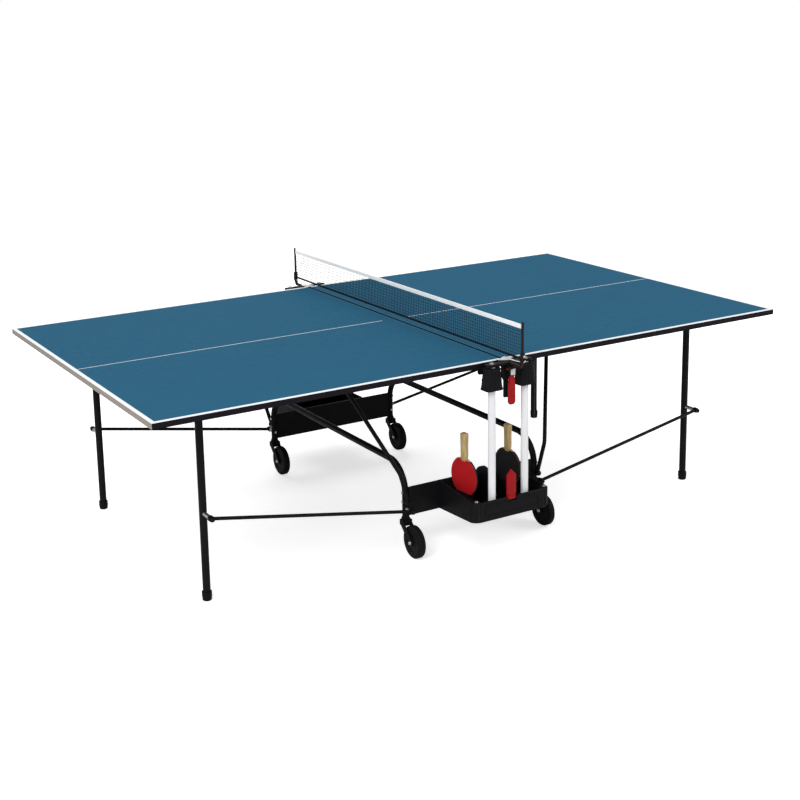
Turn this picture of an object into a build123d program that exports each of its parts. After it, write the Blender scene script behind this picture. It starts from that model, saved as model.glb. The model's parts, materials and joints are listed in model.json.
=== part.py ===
from build123d import *
import math
import os

# Folding rollaway table tennis table. Millimetres, +Z up, +X along the table,
# origin on the floor under the middle of the net. "front" is the -Y side.

# Playing top
top_length = 2740.0
top_width = 1525.0
top_height = 760.0
board_thickness = 16.0
band_thickness = 3.0
band_height = 22.0
board_gap = 12.0

# Fold linkage, seen along Y in the right half
hinge_x = 74.0
hinge_below_top = 25.0
strut_foot_x = 300.0
strut_foot_z = 205.0
strut_top_x = 425.0
strut_top_below = 48.0
leg_end_inset = 259.0
leg_axis_below = 35.0
rod_foot_z = 178.0

# Tubes
leg_diameter = 28.0
leg_side_inset = 234.5
leg_bend = 30.0
arch_diameter = 25.0
tube_wall = 2.0
arch_side_inset = 210.5
arch_top_z = 345.0
arch_foot_z = 145.0
arch_bend = 110.0
strut_diameter = 16.0
strut_bend = 45.0
rod_diameter = 13.0
strut_eye_width = 18.0
rod_eye_width = 14.0
eye_radius = 11.0

# Struts of the swing frame
strut_knee_x = 335.0
strut_knee_rise = 120.0
strut_bar_x = 475.0
strut_bar_below = 57.0
strut_bar_inset = 152.0
strut_lug_inset = 103.5
strut_lug_thickness = 8.0

# Frame under each board
rail_width = 20.0
rail_height = 25.0
rail_wall = 2.5
rail_side_inset = 48.0
rail_end_gap = 40.0
saddle_half = 20.0
saddle_wall = 8.0
lug_radius = 12.0
board_lug_thickness = 6.0
stop_tube_x = 160.0
stop_tube_inset = 32.5
stop_tube_length = 245.0
stop_tube_diameter = 16.0
stop_flange = 4.0
foot_floor = 8.0
foot_height = 34.0
foot_wall = 3.0

# Guide posts, sliders and hinges
post_diameter = 28.0
post_clear_of_board = 32.5
post_foot_z = 182.0
slider_half_along = 27.0
slider_half_across = 24.0
slider_flare_along = 9.0
slider_flare_across = 3.5
slider_corner = 14.0
slider_length = 84.0
slider_rise = 12.0
slider_top_clearance = 2.0
hinge_plate_thickness = 4.0
hinge_plate_reach = 40.0
hinge_plate_drop = 18.0
hinge_plate_lip = 2.0
hinge_pin = 12.0
hinge_boss = 10.5
bridge_height = 10.0
bridge_overhang = 26.0
bridge_width = 28.0
bridge_bolt = 8.0
bridge_bolt_depth = 35.0
bridge_bolt_head = 14.0

# Side panels and trays
panel_thickness = 10.0
panel_bottom_z = 146.0
panel_top_z = 258.0
panel_screw_inset = 18.0
panel_screw_depth = 24.0
tray_reach = 265.0
tray_half_back = 150.0
tray_half_front = 170.0
tray_front_bottom_z = 172.0
tray_front_top_z = 246.0
tray_wall = 3.0
tray_corner = 30.0
socket_radius = 22.0
socket_top_z = 215.0
divider_x = 2.0
divider_reach = 79.0
divider_half = 53.0
divider_thickness = 12.0
divider_top_z = 308.0

# Net
net_post_diameter = 18.0
net_post_reach = 87.0
net_post_rise = 25.0
net_height = 152.5
net_gap = 27.0
net_thickness = 1.2
tape_height = 16.0
tape_thickness = 4.0
net_columns = 48
net_rows = 6
net_cord = 3.0
net_border = 5.0
arm_width = 12.0
arm_depth = 9.0

# Casters
wheel_diameter = 125.0
wheel_width = 24.0
hub_diameter = 96.0
hub_width = 26.0
hub_boss = 30.0
hub_rim = 9.0
hub_web = 13.0
caster_trail = 62.0
caster_stem = 12.0
caster_neck = 30.0
neck_gap = 0.3
fork_gap = 1.5
fork_plate = 5.0
fork_crown_z = 112.0
fork_crown_height = 21.7
fork_crown_radius = 10.5
fork_axle_radius = 12.0
axle_diameter = 8.0
axle_head = 12.8
axle_head_height = 4.0
bush_flange = 3.0
bush_depth = 20.0
bush_clearance = 0.1

# Levers and latches
lever_width = 28.0
lever_neck = 16.0
lever_neck_length = 36.0
lever_shoulder = 18.0
lever_tip = 16.0
lever_chamfer = 7.0
lever_length = 134.0
lever_thickness = 6.0
lever_pin = 8.0
lever_offset = 20.0
lever_ear = 5.0
lever_drop = 13.0
latch_width = 38.0
latch_height = 111.0
latch_point = 19.0
latch_pin = 6.0
latch_barrel = 9.0
latch_pin_z = 236.0
latch_ear = 5.0

# Bats, given by the place of the blade along X, its reach from the panel, turn and rest height
bat_radius = 75.0
bat_core = 6.0
bat_rubber = 2.0
bat_shoulder = 66.0
bat_handle_length = 94.0
bat_handle_width = 26.0
bat_handle_scale = 8.0
bat_handle_edge = 1.5
cradle_wall = 3.0
cradle_half = 40.0
cradle_depth = 14.0
red_bat_x = -112.0
red_bat_reach = 115.0
red_bat_turn = -5.0
red_bat_rest_z = 227.0
black_bat_x = 114.0
black_bat_turn = -5.0
black_bat_rest_z = 212.0

# Fasteners and fits
bolt_diameter = 10.0
bolt_head = 16.0
bolt_head_height = 4.5
screw_diameter = 6.0
screw_head = 10.0
screw_head_height = 3.5
running_clearance = 0.07
bolt_clearance = 0.1
bat_clearance = 1.0
rest_clearance = 0.4
side_clearance = 0.5
link_clearance = 1.5
panel_clearance = 2.0

# Places worked out from the sizes above
half_width = top_width / 2
board_bottom_z = top_height - board_thickness
band_bottom_z = top_height - band_height
board_inner_x = board_gap / 2
board_outer_x = top_length / 2
hinge_z = top_height - hinge_below_top
strut_top_z = top_height - strut_top_below
strut_bar_z = strut_top_z - strut_bar_below
strut_knee_z = strut_foot_z + strut_knee_rise
leg_x = board_outer_x - leg_end_inset
leg_axis_z = top_height - leg_axis_below
leg_spread = half_width - leg_side_inset
rail_y = leg_spread - rail_side_inset
stop_tube_y = half_width - stop_tube_inset
arch_spread = half_width - arch_side_inset
arch_outer_y = arch_spread + arch_diameter / 2
strut_bar_half = arch_spread - strut_bar_inset
strut_lug_y = strut_bar_half - strut_lug_inset
board_lug_y = strut_lug_y + strut_lug_thickness / 2 + side_clearance
strut_y = arch_outer_y + link_clearance + strut_eye_width / 2
strut_outer_y = strut_y + strut_eye_width / 2
rod_y = strut_outer_y + bolt_head_height + link_clearance + rod_eye_width / 2
post_y = half_width + post_clear_of_board
post_bore = post_diameter / 2 + running_clearance
hinge_plate_y = half_width + hinge_plate_thickness
slider_top_z = hinge_z + slider_rise
bridge_bottom_z = slider_top_z + slider_top_clearance
bridge_top_z = bridge_bottom_z + bridge_height
bridge_half = hinge_x + bridge_overhang
lever_y = post_y + lever_offset
lever_z = bridge_bottom_z - lever_drop
panel_outer_y = arch_spread + panel_thickness / 2
panel_half = strut_foot_x - arch_diameter / 2
panel_screw_heights = (panel_top_z - 3 * panel_screw_inset, panel_top_z - panel_screw_inset)
tray_front_y = panel_outer_y + tray_reach
latch_y = tray_front_y - tray_wall - latch_pin
net_post_y = post_y + net_post_reach
net_post_bottom_z = top_height + net_post_rise
net_top_z = top_height + net_height
net_bottom_z = top_height + net_gap
net_half = net_post_y - net_post_diameter / 2
tape_bottom_z = net_top_z - tape_height
wheel_radius = wheel_diameter / 2
axle_y = -caster_trail
neck_top_z = arch_foot_z - bush_flange - neck_gap
fork_inner = hub_width / 2 + fork_gap
fork_outer = fork_inner + fork_plate
bat_half_thickness = bat_core / 2 + bat_rubber
black_bat_reach = bat_radius + panel_clearance
red_bat = (red_bat_x, panel_outer_y + red_bat_reach, red_bat_turn, red_bat_rest_z)
black_bat = (black_bat_x, panel_outer_y + black_bat_reach, black_bat_turn, black_bat_rest_z)

# Fold travel: the strut keeps its length while the board turns a right angle
folded_top_x = hinge_x + hinge_z - strut_top_z
strut_length = math.hypot(strut_top_x - strut_foot_x, strut_top_z - strut_foot_z)
folded_top_z = strut_foot_z + math.sqrt(strut_length**2 - (folded_top_x - strut_foot_x) ** 2)
folded_hinge_z = folded_top_z - (strut_top_x - hinge_x)
slider_travel = hinge_z - folded_hinge_z
strut_turn = math.degrees(
    math.atan2(strut_top_x - strut_foot_x, strut_top_z - strut_foot_z)
    - math.atan2(folded_top_x - strut_foot_x, folded_top_z - strut_foot_z)
)

# The rod joins the leg where its length is the same flat and folded
folded_leg_x = hinge_x + hinge_z - leg_axis_z
folded_leg_z = folded_hinge_z + leg_x - hinge_x
leg_rise = folded_leg_z - leg_axis_z
rod_rise = (
    (leg_x - strut_foot_x) ** 2 - (folded_leg_x - strut_foot_x) ** 2 - leg_rise**2
) / (2 * leg_rise)
rod_top_z = rod_foot_z + rod_rise
rod_turn = math.degrees(
    math.atan2(leg_rise + rod_rise, folded_leg_x - strut_foot_x)
    - math.atan2(rod_rise, leg_x - strut_foot_x)
)


def block(x0, x1, y0, y1, z0, z1):
    size = Box(abs(x1 - x0), abs(y1 - y0), abs(z1 - z0))
    return Pos((x0 + x1) / 2, (y0 + y1) / 2, (z0 + z1) / 2) * size


def rod_z(x, y, z0, z1, radius):
    return Pos(x, y, (z0 + z1) / 2) * Cylinder(radius, abs(z1 - z0))


def rod_along_y(x, z, y0, y1, radius):
    return Pos(x, (y0 + y1) / 2, z) * Rot(90, 0, 0) * Cylinder(radius, abs(y1 - y0))


def rod_along_x(y, z, x0, x1, radius):
    return Pos((x0 + x1) / 2, y, z) * Rot(0, 90, 0) * Cylinder(radius, abs(x1 - x0))


def tube_along(path, radius):
    return sweep(Plane(path @ 0, z_dir=path % 0) * Circle(radius), path=path)


def plate_xz(points, y0, y1):
    # A flat plate lying in XZ, its outline given as (x, z), between two Y planes
    outline = make_face(Polyline([(x, y0, z) for x, z in points], close=True))
    return extrude(outline, amount=abs(y1 - y0), dir=(0, 1 if y1 > y0 else -1, 0))


def plate_yz(points, x0, x1):
    # A flat plate lying in YZ, its outline given as (y, z), between two X planes
    outline = make_face(Polyline([(x0, y, z) for y, z in points], close=True))
    return extrude(outline, amount=abs(x1 - x0), dir=(1 if x1 > x0 else -1, 0, 0))


def link_xz(a, b, radius_a, radius_b, y0, y1):
    # A plate in XZ with a round end at each of two points
    outline = make_hull((Pos(*a) * Circle(radius_a)).edges() + (Pos(*b) * Circle(radius_b)).edges())
    face = Plane(origin=(0, max(y0, y1), 0), x_dir=(1, 0, 0), z_dir=(0, -1, 0))
    return extrude(face * outline, amount=abs(y1 - y0))


def link_yz(a, b, radius_a, radius_b, x0, x1):
    # A plate in YZ with a round end at each of two points
    outline = make_hull((Pos(*a) * Circle(radius_a)).edges() + (Pos(*b) * Circle(radius_b)).edges())
    face = Plane(origin=(min(x0, x1), 0, 0), x_dir=(0, 1, 0), z_dir=(1, 0, 0))
    return extrude(face * outline, amount=abs(x1 - x0))


def mirror_x(shape):
    return mirror(shape, about=Plane.YZ)


def mirror_y(shape):
    return mirror(shape, about=Plane.XZ)


def both_y(shape):
    return [shape, mirror_y(shape)]


def four(shape):
    return [copy for half in both_y(shape) for copy in (half, mirror_x(half))]


def save(name, solids):
    pieces = solids if isinstance(solids, list) else [solids]
    found = [solid for piece in pieces for solid in piece.solids()]
    export_step(found[0] if len(found) == 1 else Compound(found), f"parts/{name}.step")


def save_halves(name, solids):
    pieces = solids if isinstance(solids, list) else [solids]
    save(f"{name}_right", pieces)
    save(f"{name}_left", [mirror_x(piece) for piece in pieces])


def save_sides(name, solids):
    # The shape is given on the +Y side, which is the back
    pieces = solids if isinstance(solids, list) else [solids]
    save(f"{name}_back", pieces)
    save(f"{name}_front", [mirror_y(piece) for piece in pieces])


# Carriage: two tube arches, side panels, trays, guide posts and bridges


def make_arch():
    corners = [
        (strut_foot_x, -arch_spread, arch_foot_z),
        (strut_foot_x, -arch_spread, arch_top_z),
        (strut_foot_x, arch_spread, arch_top_z),
        (strut_foot_x, arch_spread, arch_foot_z),
    ]
    path = FilletPolyline(*corners, radius=arch_bend)
    arch = tube_along(path, arch_diameter / 2) - tube_along(path, arch_diameter / 2 - tube_wall)
    hole = bolt_diameter / 2 + running_clearance
    for side in (-1, 1):
        inner = side * (arch_spread - arch_diameter)
        outer = side * (arch_spread + arch_diameter)
        arch -= rod_along_y(strut_foot_x, rod_foot_z, inner, outer, hole)
        for z in panel_screw_heights:
            reach = (strut_foot_x - arch_diameter, strut_foot_x + arch_diameter)
            arch -= rod_along_x(side * arch_spread, z, *reach, screw_diameter / 2)
    return arch


def make_panel():
    inner_y = arch_spread - panel_thickness / 2
    panel = block(-panel_half, panel_half, inner_y, panel_outer_y, panel_bottom_z, panel_top_z)
    panel = fillet(panel.edges().filter_by(Axis.X), radius=panel_thickness / 4)
    for side in (-1, 1):
        for z in panel_screw_heights:
            reach = (side * (panel_half - panel_screw_depth), side * panel_half)
            panel -= rod_along_x(arch_spread, z, *reach, screw_diameter / 2)
    return panel


def tray_plan(inset):
    points = [
        (-tray_half_back + inset, panel_outer_y + inset),
        (-tray_half_front + inset, tray_front_y - inset),
        (tray_half_front - inset, tray_front_y - inset),
        (tray_half_back - inset, panel_outer_y + inset),
    ]
    outline = make_face(Polyline(points, close=True))
    front = outline.vertices().sort_by(Axis.Y)[-2:]
    return extrude(fillet(front, radius=tray_corner - inset), amount=2 * top_height)


def make_cradle(x, y, turn, rest_z):
    # A slotted rest that holds a bat upright by its blade
    slot_half = bat_half_thickness + bat_clearance
    outer_half = slot_half + cradle_wall
    top_z = rest_z + cradle_depth
    floor_z = rest_z - rest_clearance
    cradle = block(-outer_half, outer_half, -cradle_half, cradle_half, panel_bottom_z, top_z)
    cradle -= block(-slot_half, slot_half, -cradle_half, cradle_half, floor_z, top_z)
    return Pos(x, y, 0) * Rot(0, 0, turn) * cradle


def make_divider():
    y = panel_outer_y + divider_reach
    round_z = divider_top_z - divider_half
    half = divider_thickness / 2
    low = (y, panel_bottom_z)
    return link_yz(low, (y, round_z), divider_half, divider_half, divider_x - half, divider_x + half)


def make_tray(fittings):
    back_y = panel_outer_y
    side = [
        (back_y, panel_bottom_z),
        (tray_front_y, tray_front_bottom_z),
        (tray_front_y, tray_front_top_z),
        (back_y, panel_top_z),
    ]
    hollow = [
        (back_y, panel_bottom_z + tray_wall),
        (tray_front_y, tray_front_bottom_z + tray_wall),
        (tray_front_y, top_height),
        (back_y, top_height),
    ]
    above_floor = [side[0], side[1], hollow[2], hollow[3]]
    outer = tray_plan(0) & plate_yz(side, -top_width, top_width)
    tray = outer - (tray_plan(tray_wall) & plate_yz(hollow, -top_width, top_width))
    for x in (-hinge_x, hinge_x):
        socket = rod_z(x, post_y, panel_bottom_z, socket_top_z, socket_radius)
        tray += socket & outer
    for fitting in fittings:
        tray += fitting & plate_yz(above_floor, -top_width, top_width)
    for x in (-hinge_x, hinge_x):
        tray -= rod_z(x, post_y, post_foot_z, top_height, post_diameter / 2 + bolt_clearance)
    ear_inner = latch_width / 2 + side_clearance
    for side in (-1, 1):
        ear = block(
            side * ear_inner,
            side * (ear_inner + latch_ear),
            latch_y - latch_pin,
            tray_front_y - tray_wall / 2,
            latch_pin_z - latch_pin,
            latch_pin_z + latch_pin,
        )
        tray += ear
    tray -= block(
        -ear_inner, ear_inner, latch_y, tray_front_y, latch_pin_z - latch_pin, top_height
    )
    reach = ear_inner + latch_ear + side_clearance
    return tray - rod_along_x(latch_y, latch_pin_z, -reach, reach, latch_pin / 2 + running_clearance)


def make_post():
    post = rod_z(hinge_x, post_y, post_foot_z, bridge_bottom_z, post_diameter / 2)
    plug_z = bridge_bottom_z - bridge_bolt_depth - bridge_bolt
    post -= rod_z(hinge_x, post_y, post_foot_z, plug_z, post_diameter / 2 - tube_wall)
    hole = bridge_bolt / 2 + bolt_clearance
    return post - rod_z(hinge_x, post_y, bridge_bottom_z - bridge_bolt_depth, top_height, hole)


def make_bridge():
    low_y = post_y - bridge_width / 2
    high_y = post_y + bridge_width / 2
    bridge = block(-bridge_half, bridge_half, low_y, high_y, bridge_bottom_z, bridge_top_z)
    bridge = fillet(bridge.edges().filter_by(Axis.Z), radius=bridge_width / 3)
    ear_inner = lever_width / 2 + side_clearance
    for side in (-1, 1):
        bridge += block(
            side * ear_inner,
            side * (ear_inner + lever_ear),
            post_y - lever_pin,
            lever_y + lever_pin,
            lever_z - lever_pin,
            bridge_bottom_z,
        )
        hole = bridge_bolt / 2 + bolt_clearance
        bridge -= rod_z(side * hinge_x, post_y, bridge_bottom_z, bridge_top_z, hole)
    reach = ear_inner + lever_ear + side_clearance
    return bridge - rod_along_x(lever_y, lever_z, -reach, reach, lever_pin / 2 + running_clearance)


def make_bridge_bolt():
    shank = rod_z(
        hinge_x, post_y, bridge_top_z - bridge_bolt_depth, bridge_top_z, bridge_bolt / 2
    )
    head = rod_z(
        hinge_x, post_y, bridge_top_z, bridge_top_z + bridge_bolt / 2, bridge_bolt_head / 2
    )
    return shank + head


def make_panel_screw(z):
    face_x = strut_foot_x + arch_diameter / 2
    shank = rod_along_x(arch_spread, z, panel_half - panel_screw_depth, face_x, screw_diameter / 2)
    head = rod_along_x(arch_spread, z, face_x, face_x + screw_head_height, screw_head / 2)
    return shank + head


def make_caster_bush():
    flange = rod_z(
        strut_foot_x, arch_spread, arch_foot_z - bush_flange, arch_foot_z, caster_neck / 2
    )
    body_radius = arch_diameter / 2 - tube_wall - bush_clearance
    body = rod_z(strut_foot_x, arch_spread, arch_foot_z, arch_foot_z + bush_depth, body_radius)
    bore = caster_stem / 2 + running_clearance
    return flange + body - rod_z(strut_foot_x, arch_spread, 0, top_height, bore)


# Net, with its posts and the arms that carry them from the bridges


def make_net_arm():
    base_y = post_y + bridge_width / 2
    outer_y = net_post_y + net_post_diameter / 2
    inner_y = net_post_y - net_post_diameter / 2
    outline = [
        (base_y, bridge_bottom_z),
        (net_post_y - arm_depth, bridge_bottom_z),
        (outer_y, net_post_bottom_z - arm_depth),
        (outer_y, net_post_bottom_z),
        (inner_y, net_post_bottom_z),
        (inner_y, bridge_bottom_z + arm_depth),
        (base_y, bridge_bottom_z + arm_depth),
    ]
    return plate_yz(outline, -arm_width / 2, arm_width / 2)


def make_net_post():
    post = rod_z(0, net_post_y, net_post_bottom_z, net_top_z, net_post_diameter / 2)
    return fillet(post.edges().sort_by(Axis.Z)[-1], radius=net_post_diameter / 6)


def make_net_mesh():
    # One sheet with a hole for each gap of the mesh
    width = 2 * net_half
    height = tape_bottom_z - net_bottom_z
    pitch_y = (width - 2 * net_border + net_cord) / net_columns
    pitch_z = (height - 2 * net_border + net_cord) / net_rows
    gap = Rectangle(pitch_y - net_cord, pitch_z - net_cord)
    sheet = Rectangle(width, height) - GridLocations(pitch_y, pitch_z, net_columns, net_rows) * gap
    place = Plane(
        origin=(-net_thickness / 2, 0, (tape_bottom_z + net_bottom_z) / 2),
        x_dir=(0, 1, 0),
        z_dir=(1, 0, 0),
    )
    return extrude(place * sheet, amount=net_thickness)


def make_net_tape():
    tape = block(
        -tape_thickness / 2, tape_thickness / 2, -net_half, net_half, tape_bottom_z, net_top_z
    )
    return fillet(tape.edges().filter_by(Axis.Y).sort_by(Axis.Z)[-2:], radius=tape_thickness / 3)


# One half of the top, with its frame, hinges and links. Modelled at +X.


def board_block(inset, bottom_z):
    edge_y = half_width - inset
    return block(
        board_inner_x + inset, board_outer_x - inset, -edge_y, edge_y, bottom_z, top_height
    )


def make_board():
    return board_block(band_thickness, board_bottom_z)


def make_edge_band():
    # The band stands round the board's edge and hangs a little below it
    return board_block(0, band_bottom_z) - board_block(band_thickness, band_bottom_z)


def channel(x0, x1, y0, y1, bottom_z):
    # A folded steel channel with its open side against the board
    low_y = min(y0, y1)
    high_y = max(y0, y1)
    solid = block(x0, x1, low_y, high_y, bottom_z, board_bottom_z)
    hollow = block(
        x0 + rail_wall,
        x1 - rail_wall,
        low_y + rail_wall,
        high_y - rail_wall,
        bottom_z + rail_wall,
        board_bottom_z,
    )
    return solid - hollow


def make_underframe():
    rail_z = board_bottom_z - rail_height
    frame = None
    for side in (-1, 1):
        low = side * (rail_y - rail_width / 2)
        high = side * (rail_y + rail_width / 2)
        rail = channel(hinge_x, board_outer_x - rail_end_gap, low, high, rail_z)
        saddle = block(
            leg_x - saddle_half,
            leg_x + saddle_half,
            low,
            high,
            leg_axis_z - leg_diameter / 2 - saddle_wall,
            board_bottom_z,
        )
        frame = rail + saddle if frame is None else frame + rail + saddle
    lug_x = strut_top_x + lug_radius
    for x in (lug_x, board_outer_x - rail_end_gap - rail_width):
        inner_y = rail_y - rail_width / 2
        frame += channel(x, x + rail_width, -inner_y, inner_y, rail_z)
    pin_hole = bolt_diameter / 2 + running_clearance
    for side in (-1, 1):
        low = side * board_lug_y
        high = side * (board_lug_y + board_lug_thickness)
        frame += block(
            strut_top_x - lug_radius,
            lug_x + rail_width / 2,
            low,
            high,
            strut_top_z - lug_radius,
            board_bottom_z,
        )
        frame -= rod_along_y(strut_top_x, strut_top_z, low, high, pin_hole)
    bore = leg_diameter / 2 + running_clearance
    return frame - rod_along_y(leg_x, leg_axis_z, -half_width, half_width, bore)


def make_hinge_plate():
    inner_x = hinge_x - hinge_plate_reach / 2
    outer_x = hinge_x + hinge_plate_reach
    low_z = hinge_z - hinge_plate_drop
    high_z = top_height - hinge_plate_lip
    plate = block(inner_x, outer_x, half_width, hinge_plate_y, low_z, high_z)
    plate = fillet(plate.edges().filter_by(Axis.Y), radius=hinge_plate_drop / 2)
    pin_end = post_y - post_bore - link_clearance
    return plate + rod_along_y(hinge_x, hinge_z, hinge_plate_y, pin_end, hinge_pin / 2)


def slider_section(half_along, half_across, z):
    outline = RectangleRounded(2 * half_along, 2 * half_across, slider_corner)
    return Pos(hinge_x, post_y, z) * outline


def make_slider():
    low_z = slider_top_z - slider_length
    skirt_along = slider_half_along + slider_flare_along
    skirt_across = slider_half_across + slider_flare_across
    body = loft(
        [
            slider_section(skirt_along, skirt_across, low_z),
            slider_section(slider_half_along, slider_half_across, slider_top_z),
        ],
        ruled=True,
    )
    boss_y = hinge_plate_y + link_clearance
    body += rod_along_y(hinge_x, hinge_z, boss_y, post_y, hinge_boss)
    body -= rod_along_y(hinge_x, hinge_z, boss_y, post_y, hinge_pin / 2 + running_clearance)
    return body - rod_z(hinge_x, post_y, low_z, slider_top_z, post_bore)


def make_stop_tube():
    # Stands on the back half of the right board; the front one is its mirror
    radius = stop_tube_diameter / 2
    low_z = board_bottom_z - stop_tube_length
    tube = rod_z(stop_tube_x, stop_tube_y, low_z, board_bottom_z, radius)
    tube = fillet(tube.edges().sort_by(Axis.Z)[0], radius=radius / 2)
    return tube + rod_z(
        stop_tube_x, stop_tube_y, board_bottom_z - stop_flange, board_bottom_z, 2 * radius
    )


def make_swing_frame():
    knee = (strut_knee_x, strut_y, strut_knee_z)
    foot = (strut_foot_x, strut_y, strut_foot_z)
    corner = (strut_bar_x, strut_bar_half, strut_bar_z)
    near_half = [foot, knee, corner]
    far_half = [(x, -y, z) for x, y, z in reversed(near_half)]
    path = FilletPolyline(*near_half, *far_half, radius=strut_bend)
    frame = tube_along(path, strut_diameter / 2)
    hole = bolt_diameter / 2 + bolt_clearance
    inner_y = strut_y - strut_eye_width / 2
    for side in (-1, 1):
        eye = side * inner_y, side * strut_outer_y
        frame += rod_along_y(strut_foot_x, strut_foot_z, *eye, eye_radius)
        lug = (
            side * (strut_lug_y - strut_lug_thickness / 2),
            side * (strut_lug_y + strut_lug_thickness / 2),
        )
        frame += link_xz(
            (strut_top_x, strut_top_z), (strut_bar_x, strut_bar_z), lug_radius, lug_radius, *lug
        )
        frame -= rod_along_y(strut_foot_x, strut_foot_z, *eye, hole)
        frame -= rod_along_y(strut_top_x, strut_top_z, *lug, hole)
    return frame


def make_foot_bolt():
    shank = rod_along_y(
        strut_foot_x,
        strut_foot_z,
        arch_outer_y + link_clearance / 2,
        strut_outer_y,
        bolt_diameter / 2,
    )
    head = rod_along_y(
        strut_foot_x, strut_foot_z, strut_outer_y, strut_outer_y + bolt_head_height, bolt_head / 2
    )
    return shank + head


def make_top_bolt():
    inner_y = strut_lug_y - strut_lug_thickness / 2
    outer_y = board_lug_y + board_lug_thickness + side_clearance
    shank = rod_along_y(strut_top_x, strut_top_z, inner_y, outer_y, bolt_diameter / 2)
    head = rod_along_y(
        strut_top_x, strut_top_z, inner_y - bolt_head_height, inner_y, bolt_head / 2
    )
    nut = rod_along_y(
        strut_top_x, strut_top_z, outer_y, outer_y + bolt_head_height, bolt_head / 2
    )
    return shank + head + nut


def make_leg_frame():
    corners = [
        (leg_x, -leg_spread, foot_floor),
        (leg_x, -leg_spread, leg_axis_z),
        (leg_x, leg_spread, leg_axis_z),
        (leg_x, leg_spread, foot_floor),
    ]
    path = FilletPolyline(*corners, radius=leg_bend)
    return tube_along(path, leg_diameter / 2) - tube_along(path, leg_diameter / 2 - tube_wall)


def make_leg_foot():
    radius = leg_diameter / 2 + foot_wall
    cap = rod_z(leg_x, leg_spread, 0, foot_height, radius)
    cap = fillet(cap.edges().sort_by(Axis.Z)[0], radius=foot_floor / 2)
    bore = leg_diameter / 2 + bolt_clearance
    return cap - rod_z(leg_x, leg_spread, foot_floor, foot_height, bore)


def make_link_rod():
    reach = math.hypot(leg_x - strut_foot_x, rod_rise)
    slope = math.degrees(math.atan2(rod_rise, leg_x - strut_foot_x))
    low_y = rod_y - rod_eye_width / 2
    high_y = rod_y + rod_eye_width / 2
    along = Pos(strut_foot_x, rod_y, rod_foot_z) * Rot(0, 90 - slope, 0)
    rod = along * Pos(0, 0, reach / 2) * Cylinder(rod_diameter / 2, reach)
    hole = bolt_diameter / 2 + bolt_clearance
    for x, z in ((strut_foot_x, rod_foot_z), (leg_x, rod_top_z)):
        rod += rod_along_y(x, z, low_y, high_y, eye_radius)
    for x, z in ((strut_foot_x, rod_foot_z), (leg_x, rod_top_z)):
        rod -= rod_along_y(x, z, low_y, high_y, hole)
    return rod


def make_rod_bolt(x, z, inner_y, sleeve_y):
    # A bolt with its head outside the rod and a spacer sleeve behind it
    low_y = rod_y - rod_eye_width / 2
    high_y = rod_y + rod_eye_width / 2
    bolt = rod_along_y(x, z, inner_y, high_y, bolt_diameter / 2)
    bolt += rod_along_y(x, z, high_y, high_y + bolt_head_height, bolt_head / 2)
    return bolt + rod_along_y(x, z, sleeve_y, low_y, bolt_head / 2)


def make_rod_bolts():
    foot_inner = arch_spread - arch_diameter / 2 - link_clearance
    foot = make_rod_bolt(strut_foot_x, rod_foot_z, foot_inner, arch_outer_y + side_clearance)
    leg_face = leg_spread + leg_diameter / 2 + side_clearance
    return [foot, make_rod_bolt(leg_x, rod_top_z, leg_face, leg_face)]


# Casters. Modelled at the origin of the stem's axis, trailing towards -Y.


def make_fork():
    neck_radius = caster_neck / 2
    fork = rod_z(0, 0, fork_crown_z, neck_top_z, neck_radius)
    crown_top_z = fork_crown_z + fork_crown_height
    fork += block(
        -fork_outer, fork_outer, -neck_radius, fork_axle_radius, fork_crown_z, crown_top_z
    )
    crown = (0, fork_crown_z + fork_crown_radius)
    for side in (-1, 1):
        fork += link_yz(
            crown,
            (axle_y, wheel_radius),
            fork_crown_radius,
            fork_axle_radius,
            side * fork_inner,
            side * fork_outer,
        )
    fork += rod_z(0, 0, neck_top_z, arch_foot_z + bush_depth, caster_stem / 2)
    hole = axle_diameter / 2 + bolt_clearance
    return fork - rod_along_x(axle_y, wheel_radius, -fork_outer, fork_outer, hole)


def make_hub():
    hub = rod_along_x(axle_y, wheel_radius, -hub_width / 2, hub_width / 2, hub_diameter / 2)
    for side in (-1, 1):
        dish = side * hub_web / 2, side * hub_width
        ring = rod_along_x(axle_y, wheel_radius, *dish, hub_diameter / 2 - hub_rim)
        hub -= ring - rod_along_x(axle_y, wheel_radius, *dish, hub_boss / 2)
    bore = axle_diameter / 2 + running_clearance
    return hub - rod_along_x(axle_y, wheel_radius, -hub_width, hub_width, bore)


def make_tyre():
    tyre = rod_along_x(axle_y, wheel_radius, -wheel_width / 2, wheel_width / 2, wheel_radius)
    rims = tyre.edges().filter_by(GeomType.CIRCLE)
    tyre = fillet(rims, radius=wheel_width / 6)
    return tyre - rod_along_x(axle_y, wheel_radius, -hub_width, hub_width, hub_diameter / 2)


def make_axle():
    axle = rod_along_x(axle_y, wheel_radius, -fork_outer, fork_outer, axle_diameter / 2)
    for side in (-1, 1):
        ends = side * fork_outer, side * (fork_outer + axle_head_height)
        axle += rod_along_x(axle_y, wheel_radius, *ends, axle_head / 2)
    return axle


# Levers and latches, on the back side


def make_release_lever():
    tip_z = lever_z - lever_length
    neck_z = lever_z - lever_neck_length
    half = lever_width / 2
    right = [
        (lever_tip / 2, tip_z),
        (half, tip_z + lever_chamfer),
        (half, neck_z - lever_shoulder),
        (lever_neck / 2, neck_z),
        (lever_neck / 2, lever_z),
    ]
    left = [(-x, z) for x, z in reversed(right)]
    low_y = lever_y - lever_thickness / 2
    lever = plate_xz(right + left, low_y, low_y + lever_thickness)
    lever += rod_along_x(lever_y, lever_z, -half, half, lever_pin)
    reach = half + side_clearance + lever_ear
    return lever + rod_along_x(lever_y, lever_z, -reach, reach, lever_pin / 2)


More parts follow.
